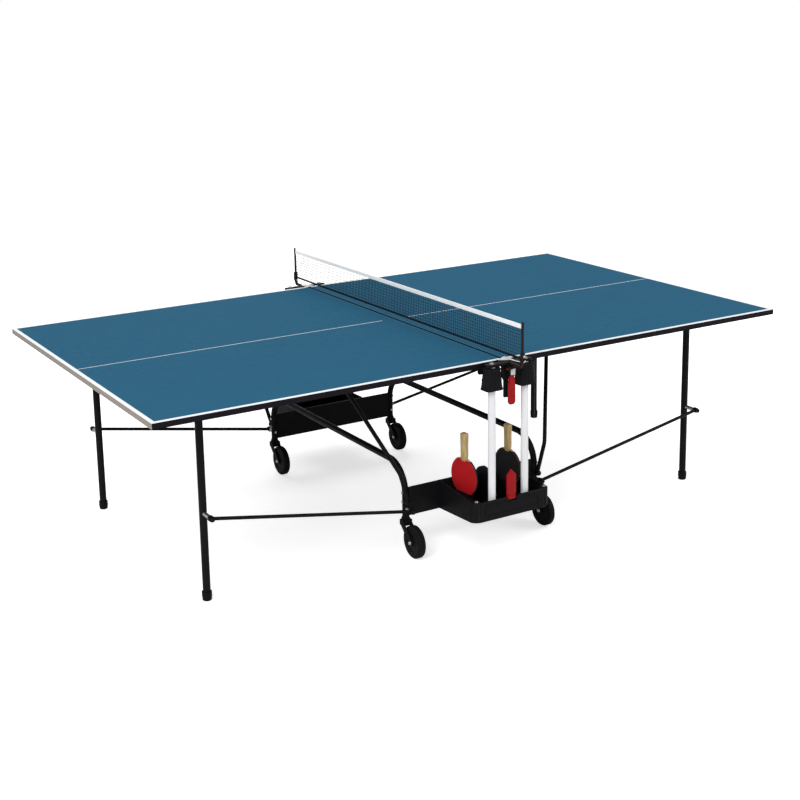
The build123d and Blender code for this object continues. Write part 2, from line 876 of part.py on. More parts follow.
def make_tray_latch():
    half = latch_width / 2
    top_z = latch_pin_z + latch_height
    points = [
        (-half, latch_pin_z),
        (-half, top_z - latch_point),
        (0, top_z),
        (half, top_z - latch_point),
        (half, latch_pin_z),
    ]
    low_y = latch_y - latch_pin / 2
    latch = plate_xz(points, low_y, low_y + latch_pin)
    latch += rod_along_x(latch_y, latch_pin_z, -half, half, latch_barrel / 2)
    reach = half + side_clearance + latch_ear
    return latch + rod_along_x(latch_y, latch_pin_z, -reach, reach, latch_pin / 2)


# Bats, stored blade down in the front tray. Modelled on the back side and mirrored.


def make_bat(x, y, turn, rest_z):
    core_half = bat_core / 2
    handle_high = bat_radius + bat_handle_length
    handle_half = bat_handle_width / 2
    core = rod_along_x(0, 0, -core_half, core_half, bat_radius)
    core += block(-core_half, core_half, -handle_half, handle_half, bat_shoulder, handle_high)
    pieces = [core]
    for side in (-1, 1):
        face = side * bat_half_thickness
        rubber = rod_along_x(0, 0, side * core_half, face, bat_radius)
        rubber -= block(-face, face, -bat_radius, bat_radius, bat_shoulder, bat_radius)
        scale = block(
            side * core_half,
            side * (core_half + bat_handle_scale),
            -handle_half,
            handle_half,
            bat_shoulder,
            handle_high,
        )
        pieces += [rubber, fillet(scale.edges().filter_by(Axis.Z), radius=bat_handle_edge)]
    place = Pos(x, y, rest_z + bat_radius) * Rot(0, 0, turn)
    return [mirror_y(place * piece) for piece in pieces]


os.makedirs("parts", exist_ok=True)

save_halves("arch", make_arch())
save_sides("panel", make_panel())
save("tray_back", make_tray([]))
fittings = [make_cradle(*red_bat), make_cradle(*black_bat), make_divider()]
save("tray_front", mirror_y(make_tray(fittings)))
save("guide_posts", four(make_post()))
save("post_bridges", both_y(make_bridge()))
save("net_arms", both_y(make_net_arm()))
save("net_posts", both_y(make_net_post()))
save("net_mesh", make_net_mesh())
save("net_tape", make_net_tape())
screws = [make_panel_screw(z) for z in panel_screw_heights] + [make_bridge_bolt()]
save("carriage_screws", [copy for screw in screws for copy in four(screw)])
save("caster_bushes", four(make_caster_bush()))

save_halves("board", make_board())
save_halves("edge_band", make_edge_band())
save_halves("underframe", make_underframe())
save_halves("hinge_plates", both_y(make_hinge_plate()))
save_halves("sliders", both_y(make_slider()))
save("stop_tube_right", mirror_y(make_stop_tube()))
save("stop_tube_left", mirror_x(make_stop_tube()))
save_halves("swing_frame", make_swing_frame())
save_halves("swing_bolts", both_y(make_foot_bolt()) + both_y(make_top_bolt()))
save_halves("leg_frame", make_leg_frame())
save_halves("leg_feet", both_y(make_leg_foot()))
save_halves("link_rods", both_y(make_link_rod()))
save_halves("rod_bolts", [copy for bolt in make_rod_bolts() for copy in both_y(bolt)])

for end, x in (("left", -strut_foot_x), ("right", strut_foot_x)):
    for side, y in (("front", -arch_spread), ("back", arch_spread)):
        place = Pos(x, y, 0)
        save(f"caster_fork_{side}_{end}", place * make_fork())
        save(f"wheel_hub_{side}_{end}", place * make_hub())
        save(f"wheel_tyre_{side}_{end}", place * make_tyre())
        save(f"wheel_axle_{side}_{end}", place * make_axle())

save_sides("release_lever", make_release_lever())
save_sides("tray_latch", make_tray_latch())
save("bat_red", make_bat(*red_bat))
save("bat_black", make_bat(*black_bat))

print(f"slider travel {slider_travel:.3f}")
print(f"swing frame turn {strut_turn:.3f}")
print(f"rod turn {rod_turn:.3f}, rod top z {rod_top_z:.2f}")
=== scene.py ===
import bpy
import json
import math
from mathutils import Matrix, Vector


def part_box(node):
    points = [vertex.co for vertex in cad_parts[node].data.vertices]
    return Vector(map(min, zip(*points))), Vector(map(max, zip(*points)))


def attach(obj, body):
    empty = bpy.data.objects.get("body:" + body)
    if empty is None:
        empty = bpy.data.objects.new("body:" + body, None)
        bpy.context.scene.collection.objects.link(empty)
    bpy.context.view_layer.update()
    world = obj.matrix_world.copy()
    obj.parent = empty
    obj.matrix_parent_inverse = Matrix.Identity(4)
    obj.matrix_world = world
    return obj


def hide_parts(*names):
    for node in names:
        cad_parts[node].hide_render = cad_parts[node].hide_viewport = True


# A folding table tennis table, dressed over its CAD frame. Metres, +X along the table,
# +Y along the net, +Z up. The front is the -Y side.

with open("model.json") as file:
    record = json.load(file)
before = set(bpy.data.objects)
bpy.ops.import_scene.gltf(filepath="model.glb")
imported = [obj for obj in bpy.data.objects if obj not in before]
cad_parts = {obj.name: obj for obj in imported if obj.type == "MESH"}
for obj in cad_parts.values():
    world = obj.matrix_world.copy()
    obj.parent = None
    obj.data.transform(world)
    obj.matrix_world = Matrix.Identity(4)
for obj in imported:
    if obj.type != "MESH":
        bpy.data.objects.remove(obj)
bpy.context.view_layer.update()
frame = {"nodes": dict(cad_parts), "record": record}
nodes = frame["nodes"]
HALVES = {"right": 1, "left": -1}
SIDES = {"front": -1, "back": 1}
UP = Vector((0, 0, 1))
ALONG = Vector((1, 0, 0))
ACROSS = Vector((0, 1, 0))

# Camera, fitted to the corners of the top in the photograph
CAMERA_PLACE = Vector((-2.910, -4.823, 2.122))
CAMERA_HEADING = math.radians(30.23)
CAMERA_DIP = math.radians(12.64)
CAMERA_ROLL = math.radians(-1.2)
CAMERA_LENS = 63.37
CAMERA_SHIFT = (0.0334, -0.1304)

# Playing lines
LINE_WIDTH = 0.015
CENTRE_LINE_WIDTH = 0.0040
CENTRE_LINE_GAP = 0.060
PAINT_DEPTH = 0.002
LIP_HEIGHT = 0.0012
# Depth of the painted highlight on the edge band's end faces
PAINTED_HIGHLIGHT_DEPTH = 0.0008
NET_GAP = 0.030

# Colours, linear
BOARD_BLUE = (0.015, 0.102, 0.184, 1)
LINE_WHITE = (0.86, 0.88, 0.89, 1)
BAND_DARK = (0.007, 0.005, 0.009, 1)
# Painted highlight colour for the lit end faces of the dark edge band, not a second material
BAND_END_PAINTED_HIGHLIGHT = (0.30, 0.27, 0.24, 1)
TUBE_BLACK = (0.006, 0.005, 0.005, 1)
MOULD_BLACK = (0.006, 0.006, 0.007, 1)
TRAY_BLACK = (0.006, 0.006, 0.007, 1)
TYRE_BLACK = (0.006, 0.006, 0.007, 1)
HUB_BLACK = (0.006, 0.006, 0.007, 1)
LEVER_RED = (0.30, 0.010, 0.012, 1)
RUBBER_RED = (0.46, 0.010, 0.014, 1)
RUBBER_BLACK = (0.014, 0.013, 0.013, 1)
POST_WHITE = (0.82, 0.82, 0.84, 1)
ZINC = (0.62, 0.62, 0.63, 1)
ARM_PALE = (0.66, 0.68, 0.70, 1)
CORD_DARK = (0.006, 0.010, 0.014, 1)
POST_BROWN = (0.016, 0.011, 0.009, 1)
TAPE_WHITE = (0.96, 0.96, 0.96, 1)
WOOD_PALE = (0.60, 0.45, 0.20, 1)
WOOD_DARK = (0.30, 0.18, 0.07, 1)


def shade(colour, factor):
    return tuple(min(1, channel * factor) for channel in colour[:3]) + (1,)


# Shader groups

COAT_SPECULAR = 0.08
BOARD_SPECULAR = 0.06
WEAVE_RATE = 5200.0


def new_group(name, inputs, outputs):
    group = bpy.data.node_groups.new(name, "ShaderNodeTree")
    for label, kind, value in inputs:
        socket = group.interface.new_socket(label, in_out="INPUT", socket_type=kind)
        socket.default_value = value
    for label, kind in outputs:
        group.interface.new_socket(label, in_out="OUTPUT", socket_type=kind)
    return group, group.nodes.new("NodeGroupInput"), group.nodes.new("NodeGroupOutput")


def add_noise(tree, coords, scale, detail=3.0, roughness=0.55):
    noise = tree.nodes.new("ShaderNodeTexNoise")
    noise.inputs["Detail"].default_value = detail
    noise.inputs["Roughness"].default_value = roughness
    tree.links.new(coords, noise.inputs["Vector"])
    if isinstance(scale, (int, float)):
        noise.inputs["Scale"].default_value = scale
    else:
        tree.links.new(scale, noise.inputs["Scale"])
    return noise.outputs["Fac"]


def add_range(tree, value, low, high, to_low, to_high):
    node = tree.nodes.new("ShaderNodeMapRange")
    tree.links.new(value, node.inputs["Value"])
    bounds = {"From Min": low, "From Max": high, "To Min": to_low, "To Max": to_high}
    for label, bound in bounds.items():
        if isinstance(bound, (int, float)):
            node.inputs[label].default_value = bound
        else:
            tree.links.new(bound, node.inputs[label])
    return node.outputs["Result"]


def add_math(tree, operation, first, second=0.5):
    node = tree.nodes.new("ShaderNodeMath")
    node.operation = operation
    for socket, value in zip(node.inputs, (first, second)):
        if isinstance(value, (int, float)):
            socket.default_value = value
        else:
            tree.links.new(value, socket)
    return node.outputs["Value"]


def add_mix(tree, factor, first, second):
    node = tree.nodes.new("ShaderNodeMix")
    node.data_type = "RGBA"
    sockets = [s for s in node.inputs if s.type == "RGBA"]
    pairs = ((node.inputs[0], factor), (sockets[0], first), (sockets[1], second))
    for socket, value in pairs:
        if isinstance(value, (int, float, tuple)):
            socket.default_value = value
        else:
            tree.links.new(value, socket)
    return [s for s in node.outputs if s.type == "RGBA"][0]


def make_finish_group():
    # Worn finish: broad tone drift, fine grain and a rub mask, all from the piece's own place
    group, source, sink = new_group(
        "worn_finish",
        [
            ("Colour", "NodeSocketColor", (0.5, 0.5, 0.5, 1)),
            ("Rubbed", "NodeSocketColor", (0.6, 0.6, 0.6, 1)),
            ("Rub", "NodeSocketFloat", 0.2),
            ("Grain Scale", "NodeSocketFloat", 600.0),
            ("Smooth", "NodeSocketFloat", 0.3),
            ("Rough", "NodeSocketFloat", 0.5),
        ],
        [
            ("Colour", "NodeSocketColor"),
            ("Roughness", "NodeSocketFloat"),
            ("Height", "NodeSocketFloat"),
        ],
    )
    place = group.nodes.new("ShaderNodeTexCoord").outputs["Object"]
    drift = add_noise(group, place, 7.0, 4.0)
    scuff = add_noise(group, place, 38.0, 6.0, 0.65)
    grain = add_noise(group, place, source.outputs["Grain Scale"], 2.0)
    mask = add_range(group, scuff, 0.52, 0.78, 0.0, source.outputs["Rub"])
    drifted = add_mix(
        group,
        add_range(group, drift, 0.3, 0.7, 0.0, 0.35),
        source.outputs["Colour"],
        source.outputs["Rubbed"],
    )
    colour = add_mix(group, mask, drifted, source.outputs["Rubbed"])
    group.links.new(colour, sink.inputs["Colour"])
    rough = add_range(
        group, scuff, 0.3, 0.75, source.outputs["Smooth"], source.outputs["Rough"]
    )
    group.links.new(rough, sink.inputs["Roughness"])
    group.links.new(grain, sink.inputs["Height"])
    return group


FINISH = make_finish_group()


def start_material(name):
    material = bpy.data.materials.new(name)
    material.use_nodes = True
    tree = material.node_tree
    return material, tree, tree.nodes["Principled BSDF"]


def place_group(tree, group, **values):
    node = tree.nodes.new("ShaderNodeGroup")
    node.node_tree = group
    for label, value in values.items():
        node.inputs[label.replace("_", " ")].default_value = value
    return node


def add_bump(tree, shader, height, strength, distance):
    bump = tree.nodes.new("ShaderNodeBump")
    bump.inputs["Strength"].default_value = strength
    bump.inputs["Distance"].default_value = distance
    tree.links.new(height, bump.inputs["Height"])
    tree.links.new(bump.outputs["Normal"], shader.inputs["Normal"])


def finished(name, colour, rub=0.2, rubbed=1.35, grain=600.0, rough=(0.35, 0.5), bump=0.25, metal=0.0):
    # The finish group on a plain shader, with a weak reflection unless it is a metal
    material, tree, shader = start_material(name)
    finish = place_group(
        tree,
        FINISH,
        Colour=colour,
        Rubbed=shade(colour, rubbed),
        Rub=rub,
        Grain_Scale=grain,
        Smooth=rough[0],
        Rough=rough[1],
    )
    tree.links.new(finish.outputs["Colour"], shader.inputs["Base Color"])
    tree.links.new(finish.outputs["Roughness"], shader.inputs["Roughness"])
    shader.inputs["Metallic"].default_value = metal
    shader.inputs["Specular IOR Level"].default_value = 0.5 if metal else COAT_SPECULAR
    add_bump(tree, shader, finish.outputs["Height"], bump, 0.0004)
    return material


def object_axes(tree):
    split = tree.nodes.new("ShaderNodeSeparateXYZ")
    coords = tree.nodes.new("ShaderNodeTexCoord")
    tree.links.new(coords.outputs["Object"], split.inputs["Vector"])
    return split.outputs["X"], split.outputs["Y"], split.outputs["Z"]


def make_board_paint():
    # Blue playing paint with its white border and centre lines, on the top face only
    material, tree, shader = start_material("board_paint")
    along, across, height = object_axes(tree)
    finish = place_group(
        tree,
        FINISH,
        Colour=BOARD_BLUE,
        Rubbed=shade(BOARD_BLUE, 1.12),
        Rub=0.12,
        Grain_Scale=1500.0,
        Smooth=0.52,
        Rough=0.64,
    )
    edge_line = add_math(
        tree, "GREATER_THAN", add_math(tree, "ABSOLUTE", across), cad_top_half_width - LINE_WIDTH
    )
    end_line = add_math(
        tree, "GREATER_THAN", add_math(tree, "ABSOLUTE", along), cad_top_half_length - LINE_WIDTH
    )
    middle = add_math(
        tree, "LESS_THAN", add_math(tree, "ABSOLUTE", across), CENTRE_LINE_WIDTH / 2
    )
    clear = add_math(tree, "GREATER_THAN", add_math(tree, "ABSOLUTE", along), CENTRE_LINE_GAP)
    middle = add_math(tree, "MULTIPLY", middle, clear)
    lines = add_math(tree, "MAXIMUM", add_math(tree, "MAXIMUM", edge_line, end_line), middle)
    lifted = add_math(tree, "GREATER_THAN", height, cad_top_z - PAINT_DEPTH)
    painted = add_mix(tree, lines, finish.outputs["Colour"], LINE_WHITE)
    under = add_mix(tree, lifted, BAND_DARK, painted)
    tree.links.new(under, shader.inputs["Base Color"])
    tree.links.new(finish.outputs["Roughness"], shader.inputs["Roughness"])
    shader.inputs["Specular IOR Level"].default_value = BOARD_SPECULAR
    add_bump(tree, shader, finish.outputs["Height"], 0.12, 0.0002)
    return material


def make_band_paint():
    # Dark edge band whose end faces are painted paler, a painted highlight that stands in for the lamp light
    # they catch. Its top lip carries the white line, or the blue along the net
    material, tree, shader = start_material("edge_band")
    along, across, height = object_axes(tree)
    finish = place_group(
        tree,
        FINISH,
        Colour=BAND_DARK,
        Rubbed=shade(BAND_DARK, 1.5),
        Rub=0.3,
        Grain_Scale=700.0,
        Smooth=0.35,
        Rough=0.55,
    )
    top = add_math(tree, "GREATER_THAN", height, cad_top_z - LIP_HEIGHT)
    away = add_math(tree, "GREATER_THAN", add_math(tree, "ABSOLUTE", along), NET_GAP)
    lip = add_math(tree, "MULTIPLY", top, away)
    seam = add_math(tree, "SUBTRACT", top, lip)
    # Painted highlight: the band's end faces get a paler colour for the light they catch, though the band is
    # one dark material all round
    end = add_math(tree, "GREATER_THAN", add_math(tree, "ABSOLUTE", along), cad_top_half_length - PAINTED_HIGHLIGHT_DEPTH)
    colour = add_mix(tree, end, finish.outputs["Colour"], BAND_END_PAINTED_HIGHLIGHT)
    colour = add_mix(tree, seam, colour, BOARD_BLUE)
    colour = add_mix(tree, lip, colour, LINE_WHITE)
    tree.links.new(colour, shader.inputs["Base Color"])
    tree.links.new(finish.outputs["Roughness"], shader.inputs["Roughness"])
    shader.inputs["Specular IOR Level"].default_value = COAT_SPECULAR
    add_bump(tree, shader, finish.outputs["Height"], 0.2, 0.0003)
    return material


def make_wood():
    # Wood whose grain runs up the handle
    material, tree, shader = start_material("handle_wood")
    coords = tree.nodes.new("ShaderNodeTexCoord").outputs["Object"]
    stretch = tree.nodes.new("ShaderNodeMapping")
    stretch.inputs["Scale"].default_value = (1.0, 1.0, 0.06)
    tree.links.new(coords, stretch.inputs["Vector"])
    rings = add_noise(tree, stretch.outputs["Vector"], 420.0, 5.0, 0.6)
    colour = add_mix(tree, add_range(tree, rings, 0.35, 0.68, 0.0, 1.0), WOOD_PALE, WOOD_DARK)
    tree.links.new(colour, shader.inputs["Base Color"])
    tree.links.new(add_range(tree, rings, 0.3, 0.7, 0.38, 0.55), shader.inputs["Roughness"])
    add_bump(tree, shader, rings, 0.3, 0.0004)
    return material


def make_tape_cloth():
    # White cotton with a fine weave and a little grime
    material, tree, shader = start_material("tape_cloth")
    coords = tree.nodes.new("ShaderNodeTexCoord").outputs["Object"]
    along, across, height = object_axes(tree)
    warp = add_math(tree, "SINE", add_math(tree, "MULTIPLY", across, WEAVE_RATE))
    weft = add_math(tree, "SINE", add_math(tree, "MULTIPLY", height, WEAVE_RATE))
    weave = add_math(tree, "MULTIPLY", warp, weft)
    grime = add_noise(tree, coords, 26.0, 5.0)
    colour = add_mix(
        tree, add_range(tree, grime, 0.45, 0.8, 0.0, 0.4), TAPE_WHITE, shade(TAPE_WHITE, 0.9)
    )
    tree.links.new(colour, shader.inputs["Base Color"])
    shader.inputs["Roughness"].default_value = 0.85
    shader.inputs["Sheen Weight"].default_value = 0.2
    add_bump(tree, shader, weave, 0.35, 0.0003)
    return material


cad_top_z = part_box("board_right")[1].z
cad_top_half_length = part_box("edge_band_right")[1].x
cad_top_half_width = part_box("edge_band_right")[1].y

BOARD = make_board_paint()
BAND = make_band_paint()
WOOD = make_wood()
TAPE = make_tape_cloth()
TUBE = finished("tube_coat", TUBE_BLACK, rub=0.35, rubbed=2.2, grain=900.0, rough=(0.24, 0.42))
MOULD = finished("moulded_black", MOULD_BLACK, rub=0.3, rubbed=2.0, grain=1400.0, rough=(0.38, 0.58))
TRAY = finished("tray_moulding", TRAY_BLACK, rub=0.3, rubbed=1.9, grain=1100.0, rough=(0.3, 0.52))
TYRE = finished("tyre_rubber", TYRE_BLACK, rub=0.6, rubbed=2.4, grain=800.0, rough=(0.55, 0.8), bump=0.5)
HUB = finished("hub_moulding", HUB_BLACK, rub=0.3, rubbed=1.5, grain=1200.0, rough=(0.35, 0.5))
RED = finished("lever_red", LEVER_RED, rub=0.2, rubbed=1.25, grain=700.0, rough=(0.22, 0.36))
RED_RUBBER = finished("bat_rubber_red", RUBBER_RED, rub=0.35, rubbed=0.7, grain=1800.0, rough=(0.5, 0.7))
BLACK_RUBBER = finished("bat_rubber_black", RUBBER_BLACK, rub=0.4, rubbed=2.2, grain=1800.0, rough=(0.5, 0.7))
WHITE = finished("post_enamel", POST_WHITE, rub=0.3, rubbed=0.86, grain=500.0, rough=(0.16, 0.3), bump=0.1)
STEEL = finished("zinc_plate", ZINC, rub=0.5, rubbed=0.72, grain=1500.0, rough=(0.24, 0.42), metal=1.0)
PALE = finished("wire_coat", ARM_PALE, rub=0.4, rubbed=0.8, grain=900.0, rough=(0.3, 0.45))
BROWN = finished("post_moulding", POST_BROWN, rub=0.3, rubbed=1.8, grain=1300.0, rough=(0.35, 0.5))
CORD = finished("net_cord", CORD_DARK, rub=0.5, rubbed=2.6, grain=2500.0, rough=(0.7, 0.9), bump=0.6)

FINISHES = {
    "playing_board": BOARD,
    "edge_band": BAND,
    "frame_tube": TUBE,
    "black_plastic": MOULD,
    "carriage_plastic": TRAY,
    "red_plastic": RED,
    "hub_plastic": HUB,
    "tyre_rubber": TYRE,
    "zinc_steel": STEEL,
    "white_tube": WHITE,
    "net_post_plastic": BROWN,
    "net_cord": CORD,
    "net_tape": TAPE,
    "bat_red": RED_RUBBER,
    "bat_black": BLACK_RUBBER,
}


def dress(piece, material):
    piece.data.materials.clear()
    piece.data.materials.append(material)
    return piece


for part in frame["record"]["subparts"]:
    dress(nodes[part["node"]], FINISHES[part["material_slot"]])


# Modelling tools


def deselect():
    if bpy.context.object and bpy.context.object.mode != "OBJECT":
        bpy.ops.object.mode_set(mode="OBJECT")
    bpy.ops.object.select_all(action="DESELECT")


def pick(piece):
    deselect()
    bpy.context.view_layer.objects.active = piece
    piece.select_set(True)


def settle(piece):
    # Puts the piece's place into its mesh
    pick(piece)
    bpy.ops.object.transform_apply(location=True, rotation=True, scale=True)
    return piece


def smooth(piece, angle=35):
    pick(piece)
    bpy.ops.object.shade_smooth_by_angle(angle=math.radians(angle))
    return piece


def apply_modifier(piece, kind, **values):
    pick(piece)
    modifier = piece.modifiers.new(kind.lower(), kind)
    for label, value in values.items():
        setattr(modifier, label, value)
    bpy.ops.object.modifier_apply(modifier=modifier.name)
    return piece


def slab(name, low, high, bevel=0.0, segments=3):
    # A block between two corners, with its edges rounded
    deselect()
    low, high = Vector(low), Vector(high)
    bpy.ops.mesh.primitive_cube_add(size=1.0, location=(low + high) / 2)
    piece = bpy.context.object
    piece.name = name
    piece.scale = high - low
    settle(piece)
    if bevel:
        apply_modifier(piece, "BEVEL", width=bevel, segments=segments, limit_method="ANGLE")
    return smooth(piece)


def turned(name, start, direction, stations, sides=40):
    # A lathe shape: a disc is extruded along the axis and resized at each (distance, radius)
    deselect()
    start, direction = Vector(start), Vector(direction).normalized()
    turn = direction.to_track_quat("Z", "Y").to_euler()
    first_distance, first_radius = stations[0]
    bpy.ops.mesh.primitive_circle_add(
        vertices=sides,
        radius=first_radius,
        fill_type="NGON",
        location=start + direction * first_distance,
        rotation=turn,
    )
    piece = bpy.context.object
    piece.name = name
    settle(piece)
    bpy.ops.object.mode_set(mode="EDIT")
    bpy.ops.mesh.select_all(action="SELECT")
    at, radius = first_distance, first_radius
    for distance, next_radius in stations[1:]:
        move = direction * (distance - at)
        bpy.ops.mesh.extrude_region_move(TRANSFORM_OT_translate={"value": move})
        scale = next_radius / radius
        centre = start + direction * distance
        bpy.ops.transform.resize(value=(scale, scale, scale), center_override=centre)
        at, radius = distance, next_radius
    bpy.ops.mesh.select_all(action="SELECT")
    bpy.ops.mesh.remove_doubles(threshold=1e-6)
    bpy.ops.mesh.normals_make_consistent(inside=False)
    bpy.ops.object.mode_set(mode="OBJECT")
    return smooth(piece, 40)


def lathe_ring(name, start, direction, profile, sides=40):
    # A closed ring about an axis: a circle's edges are extruded round the (distance, radius) profile
    deselect()
    start, direction = Vector(start), Vector(direction).normalized()
    turn = direction.to_track_quat("Z", "Y").to_euler()
    at, radius = profile[0]
    bpy.ops.mesh.primitive_circle_add(
        vertices=sides, radius=radius, fill_type="NOTHING", location=start + direction * at, rotation=turn
    )
    piece = bpy.context.object
    piece.name = name
    settle(piece)
    bpy.ops.object.mode_set(mode="EDIT")
    bpy.ops.mesh.select_all(action="SELECT")
    for distance, next_radius in list(profile[1:]) + [profile[0]]:
        move = direction * (distance - at)
        bpy.ops.mesh.extrude_edges_move(TRANSFORM_OT_translate={"value": move})
        scale = next_radius / radius
        centre = start + direction * distance
        bpy.ops.transform.resize(value=(scale, scale, scale), center_override=centre)
        at, radius = distance, next_radius
    bpy.ops.mesh.select_all(action="SELECT")
    bpy.ops.mesh.remove_doubles(threshold=1e-6)
    bpy.ops.mesh.normals_make_consistent(inside=False)
    bpy.ops.object.mode_set(mode="OBJECT")
    return smooth(piece, 40)


def bead(name, corners, radius, bend=0.0, closed=True, sides=3):
    # A round wire: a point is extruded along straight runs and its corners are rounded
    deselect()
    start = Vector(corners[0])
    bpy.ops.mesh.primitive_plane_add(size=radius, location=start)
    piece = bpy.context.object
    piece.name = name
    settle(piece)
    bpy.ops.object.mode_set(mode="EDIT")
    bpy.ops.mesh.select_mode(type="VERT")
    bpy.ops.mesh.select_all(action="SELECT")
    bpy.ops.mesh.merge(type="CENTER")
    at = start
    route = [Vector(corner) for corner in corners[1:]]
    for corner in route + [start] * closed:
        bpy.ops.mesh.extrude_vertices_move(TRANSFORM_OT_translate={"value": corner - at})
        at = corner
    bpy.ops.mesh.select_all(action="SELECT")
    bpy.ops.mesh.remove_doubles(threshold=1e-6)
    if bend:
        bpy.ops.mesh.bevel(offset=bend, segments=8, affect="VERTICES")
    bpy.ops.object.mode_set(mode="OBJECT")
    bpy.ops.object.convert(target="CURVE")
    piece.data.bevel_depth = radius
    piece.data.bevel_resolution = sides
    piece.data.use_fill_caps = not closed
    bpy.ops.object.convert(target="MESH")
    return smooth(piece, 60)


def rounded_face(name, place, half_x, half_y, corner):
    # A level rectangle with rounded corners, left selected in edit mode
    deselect()
    bpy.ops.mesh.primitive_plane_add(size=2.0, location=place)
    piece = bpy.context.object
    piece.name = name
    piece.scale = (half_x, half_y, 1)
    settle(piece)
    bpy.ops.object.mode_set(mode="EDIT")
    bpy.ops.mesh.select_all(action="SELECT")
    bpy.ops.mesh.bevel(offset=corner, segments=5, affect="VERTICES")
    bpy.ops.mesh.select_all(action="SELECT")
    return piece


def lofted(name, start, stations, corner):
    # An upright bar: a rounded face is extruded up and resized at each (height, half x, half y)
    start = Vector(start)
    height, half_x, half_y = stations[0]
    piece = rounded_face(name, start + UP * height, half_x, half_y, corner)
    for next_height, next_x, next_y in stations[1:]:
        move = UP * (next_height - height)
        bpy.ops.mesh.extrude_region_move(TRANSFORM_OT_translate={"value": move})
        scale = (next_x / half_x, next_y / half_y, 1)
        bpy.ops.transform.resize(value=scale, center_override=start + UP * next_height)
        height, half_x, half_y = next_height, next_x, next_y
    bpy.ops.mesh.select_all(action="SELECT")
    bpy.ops.mesh.normals_make_consistent(inside=False)
    bpy.ops.object.mode_set(mode="OBJECT")
    return smooth(piece, 40)


def hollow_band(name, place, half_x, half_y, corner, height, wall, edge):
    # An upright ring: a rounded face is inset, its middle taken out, and the rest extruded
    piece = rounded_face(name, place, half_x, half_y, corner)
    bpy.ops.mesh.inset(thickness=wall)
    bpy.ops.mesh.delete(type="FACE")
    bpy.ops.mesh.select_all(action="SELECT")
    bpy.ops.mesh.extrude_region_move(TRANSFORM_OT_translate={"value": UP * height})
    bpy.ops.mesh.select_all(action="SELECT")
    bpy.ops.mesh.normals_make_consistent(inside=False)
    bpy.ops.object.mode_set(mode="OBJECT")
    apply_modifier(piece, "BEVEL", width=edge, segments=2, limit_method="ANGLE")
    return smooth(piece)


def copy_piece(piece, name, matrix):
    # A copy with its own mesh, moved or mirrored in its mesh
    twin = piece.copy()
    twin.data = piece.data.copy()
    twin.name = name
    bpy.context.scene.collection.objects.link(twin)
    twin.data.transform(matrix)
    if matrix.determinant() < 0:
        twin.data.flip_normals()
    return twin


def join(name, pieces):
    deselect()
    for piece in pieces:
        piece.select_set(True)
    bpy.context.view_layer.objects.active = pieces[0]
    bpy.ops.object.join()
    joined = bpy.context.object
    joined.name = name
    return joined


MIRROR_ALONG = Matrix.Diagonal((-1, 1, 1, 1))


def fit_piece(piece, body, slot_name, material, *replaced):
    dress(piece, material)
    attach(piece, body)
    if replaced:
        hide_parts(*replaced)
    return piece


# Net

MESH_PITCH = 0.0125
MESH_CORD = 0.0021
HEM_HALF = 0.0014
HEM_DROP = 0.0060
HEM_LAP = 0.0025
NET_BOW = 0.0020
NET_WAVES = ((9.0, 0.0, 0.6), (23.0, 1.3, 0.4))
TAPE_CLOTH = 0.0007
TAPE_PARTS = 60


def make_net():
    # A grid with slight waves, turned into cords
    low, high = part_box("net_mesh")
    width, height = high.y - low.y, high.z - low.z
    columns, rows = round(width / MESH_PITCH), round(height / MESH_PITCH)
    deselect()
    bpy.ops.mesh.primitive_grid_add(
        x_subdivisions=columns, y_subdivisions=rows, size=1.0, location=(0, 0, (low.z + high.z) / 2)
    )
    net = bpy.context.object
    net.name = "net_weave"
    net.scale = (width, height, 1)
    net.rotation_euler = (math.radians(90), 0, math.radians(90))
    settle(net)
    for point in net.data.vertices:
        level = (point.co.z - low.z) / height
        ripple = sum(math.sin(point.co.y * rate + phase) * share for rate, phase, share in NET_WAVES)
        point.co.x += NET_BOW * ripple * math.sin(level * math.pi)
    apply_modifier(net, "WIREFRAME", thickness=MESH_CORD, use_even_offset=False)
    return fit_piece(net, "carriage", "net_cord", CORD, "net_mesh")


def make_net_hem():
    # The dark strip along the lower edge
    low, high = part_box("net_mesh")
    hem = slab(
        "net_hem",
        (-HEM_HALF, low.y, low.z - HEM_DROP),
        (HEM_HALF, high.y, low.z + HEM_LAP),
        HEM_HALF * 0.6,
    )
    return fit_piece(hem, "carriage", "net_cord", CORD)


def make_net_tape():
    # A cotton strip folded over the net's top edge, open below
    low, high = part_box("net_tape")
    half, fold = (high.x - low.x) / 2, high.z - low.z
    deselect()
    bpy.ops.mesh.primitive_grid_add(
        x_subdivisions=1, y_subdivisions=TAPE_PARTS, size=1.0, location=(0, 0, high.z)
    )
    strip = bpy.context.object
    strip.name = "net_band"
    strip.scale = (2 * half, high.y - low.y, 1)
    settle(strip)
    bpy.ops.object.mode_set(mode="EDIT")
    bpy.ops.mesh.select_mode(type="EDGE")
    bpy.ops.mesh.select_all(action="DESELECT")
    bpy.ops.object.mode_set(mode="OBJECT")
    for edge in strip.data.edges:
        ends = [strip.data.vertices[index].co.x for index in edge.vertices]
        edge.select = ends[0] * ends[1] > 0
    bpy.ops.object.mode_set(mode="EDIT")
    bpy.ops.mesh.extrude_edges_move(TRANSFORM_OT_translate={"value": UP * -fold})
    bpy.ops.mesh.select_all(action="SELECT")
    bpy.ops.mesh.normals_make_consistent(inside=False)
    bpy.ops.object.mode_set(mode="OBJECT")
    apply_modifier(strip, "BEVEL", width=half * 0.7, segments=3, limit_method="ANGLE")
    apply_modifier(strip, "SOLIDIFY", thickness=TAPE_CLOTH, offset=-1.0)
    return fit_piece(smooth(strip, 60), "carriage", "net_tape", TAPE, "net_tape")


make_net()
make_net_hem()
make_net_tape()


# Net posts and clamps

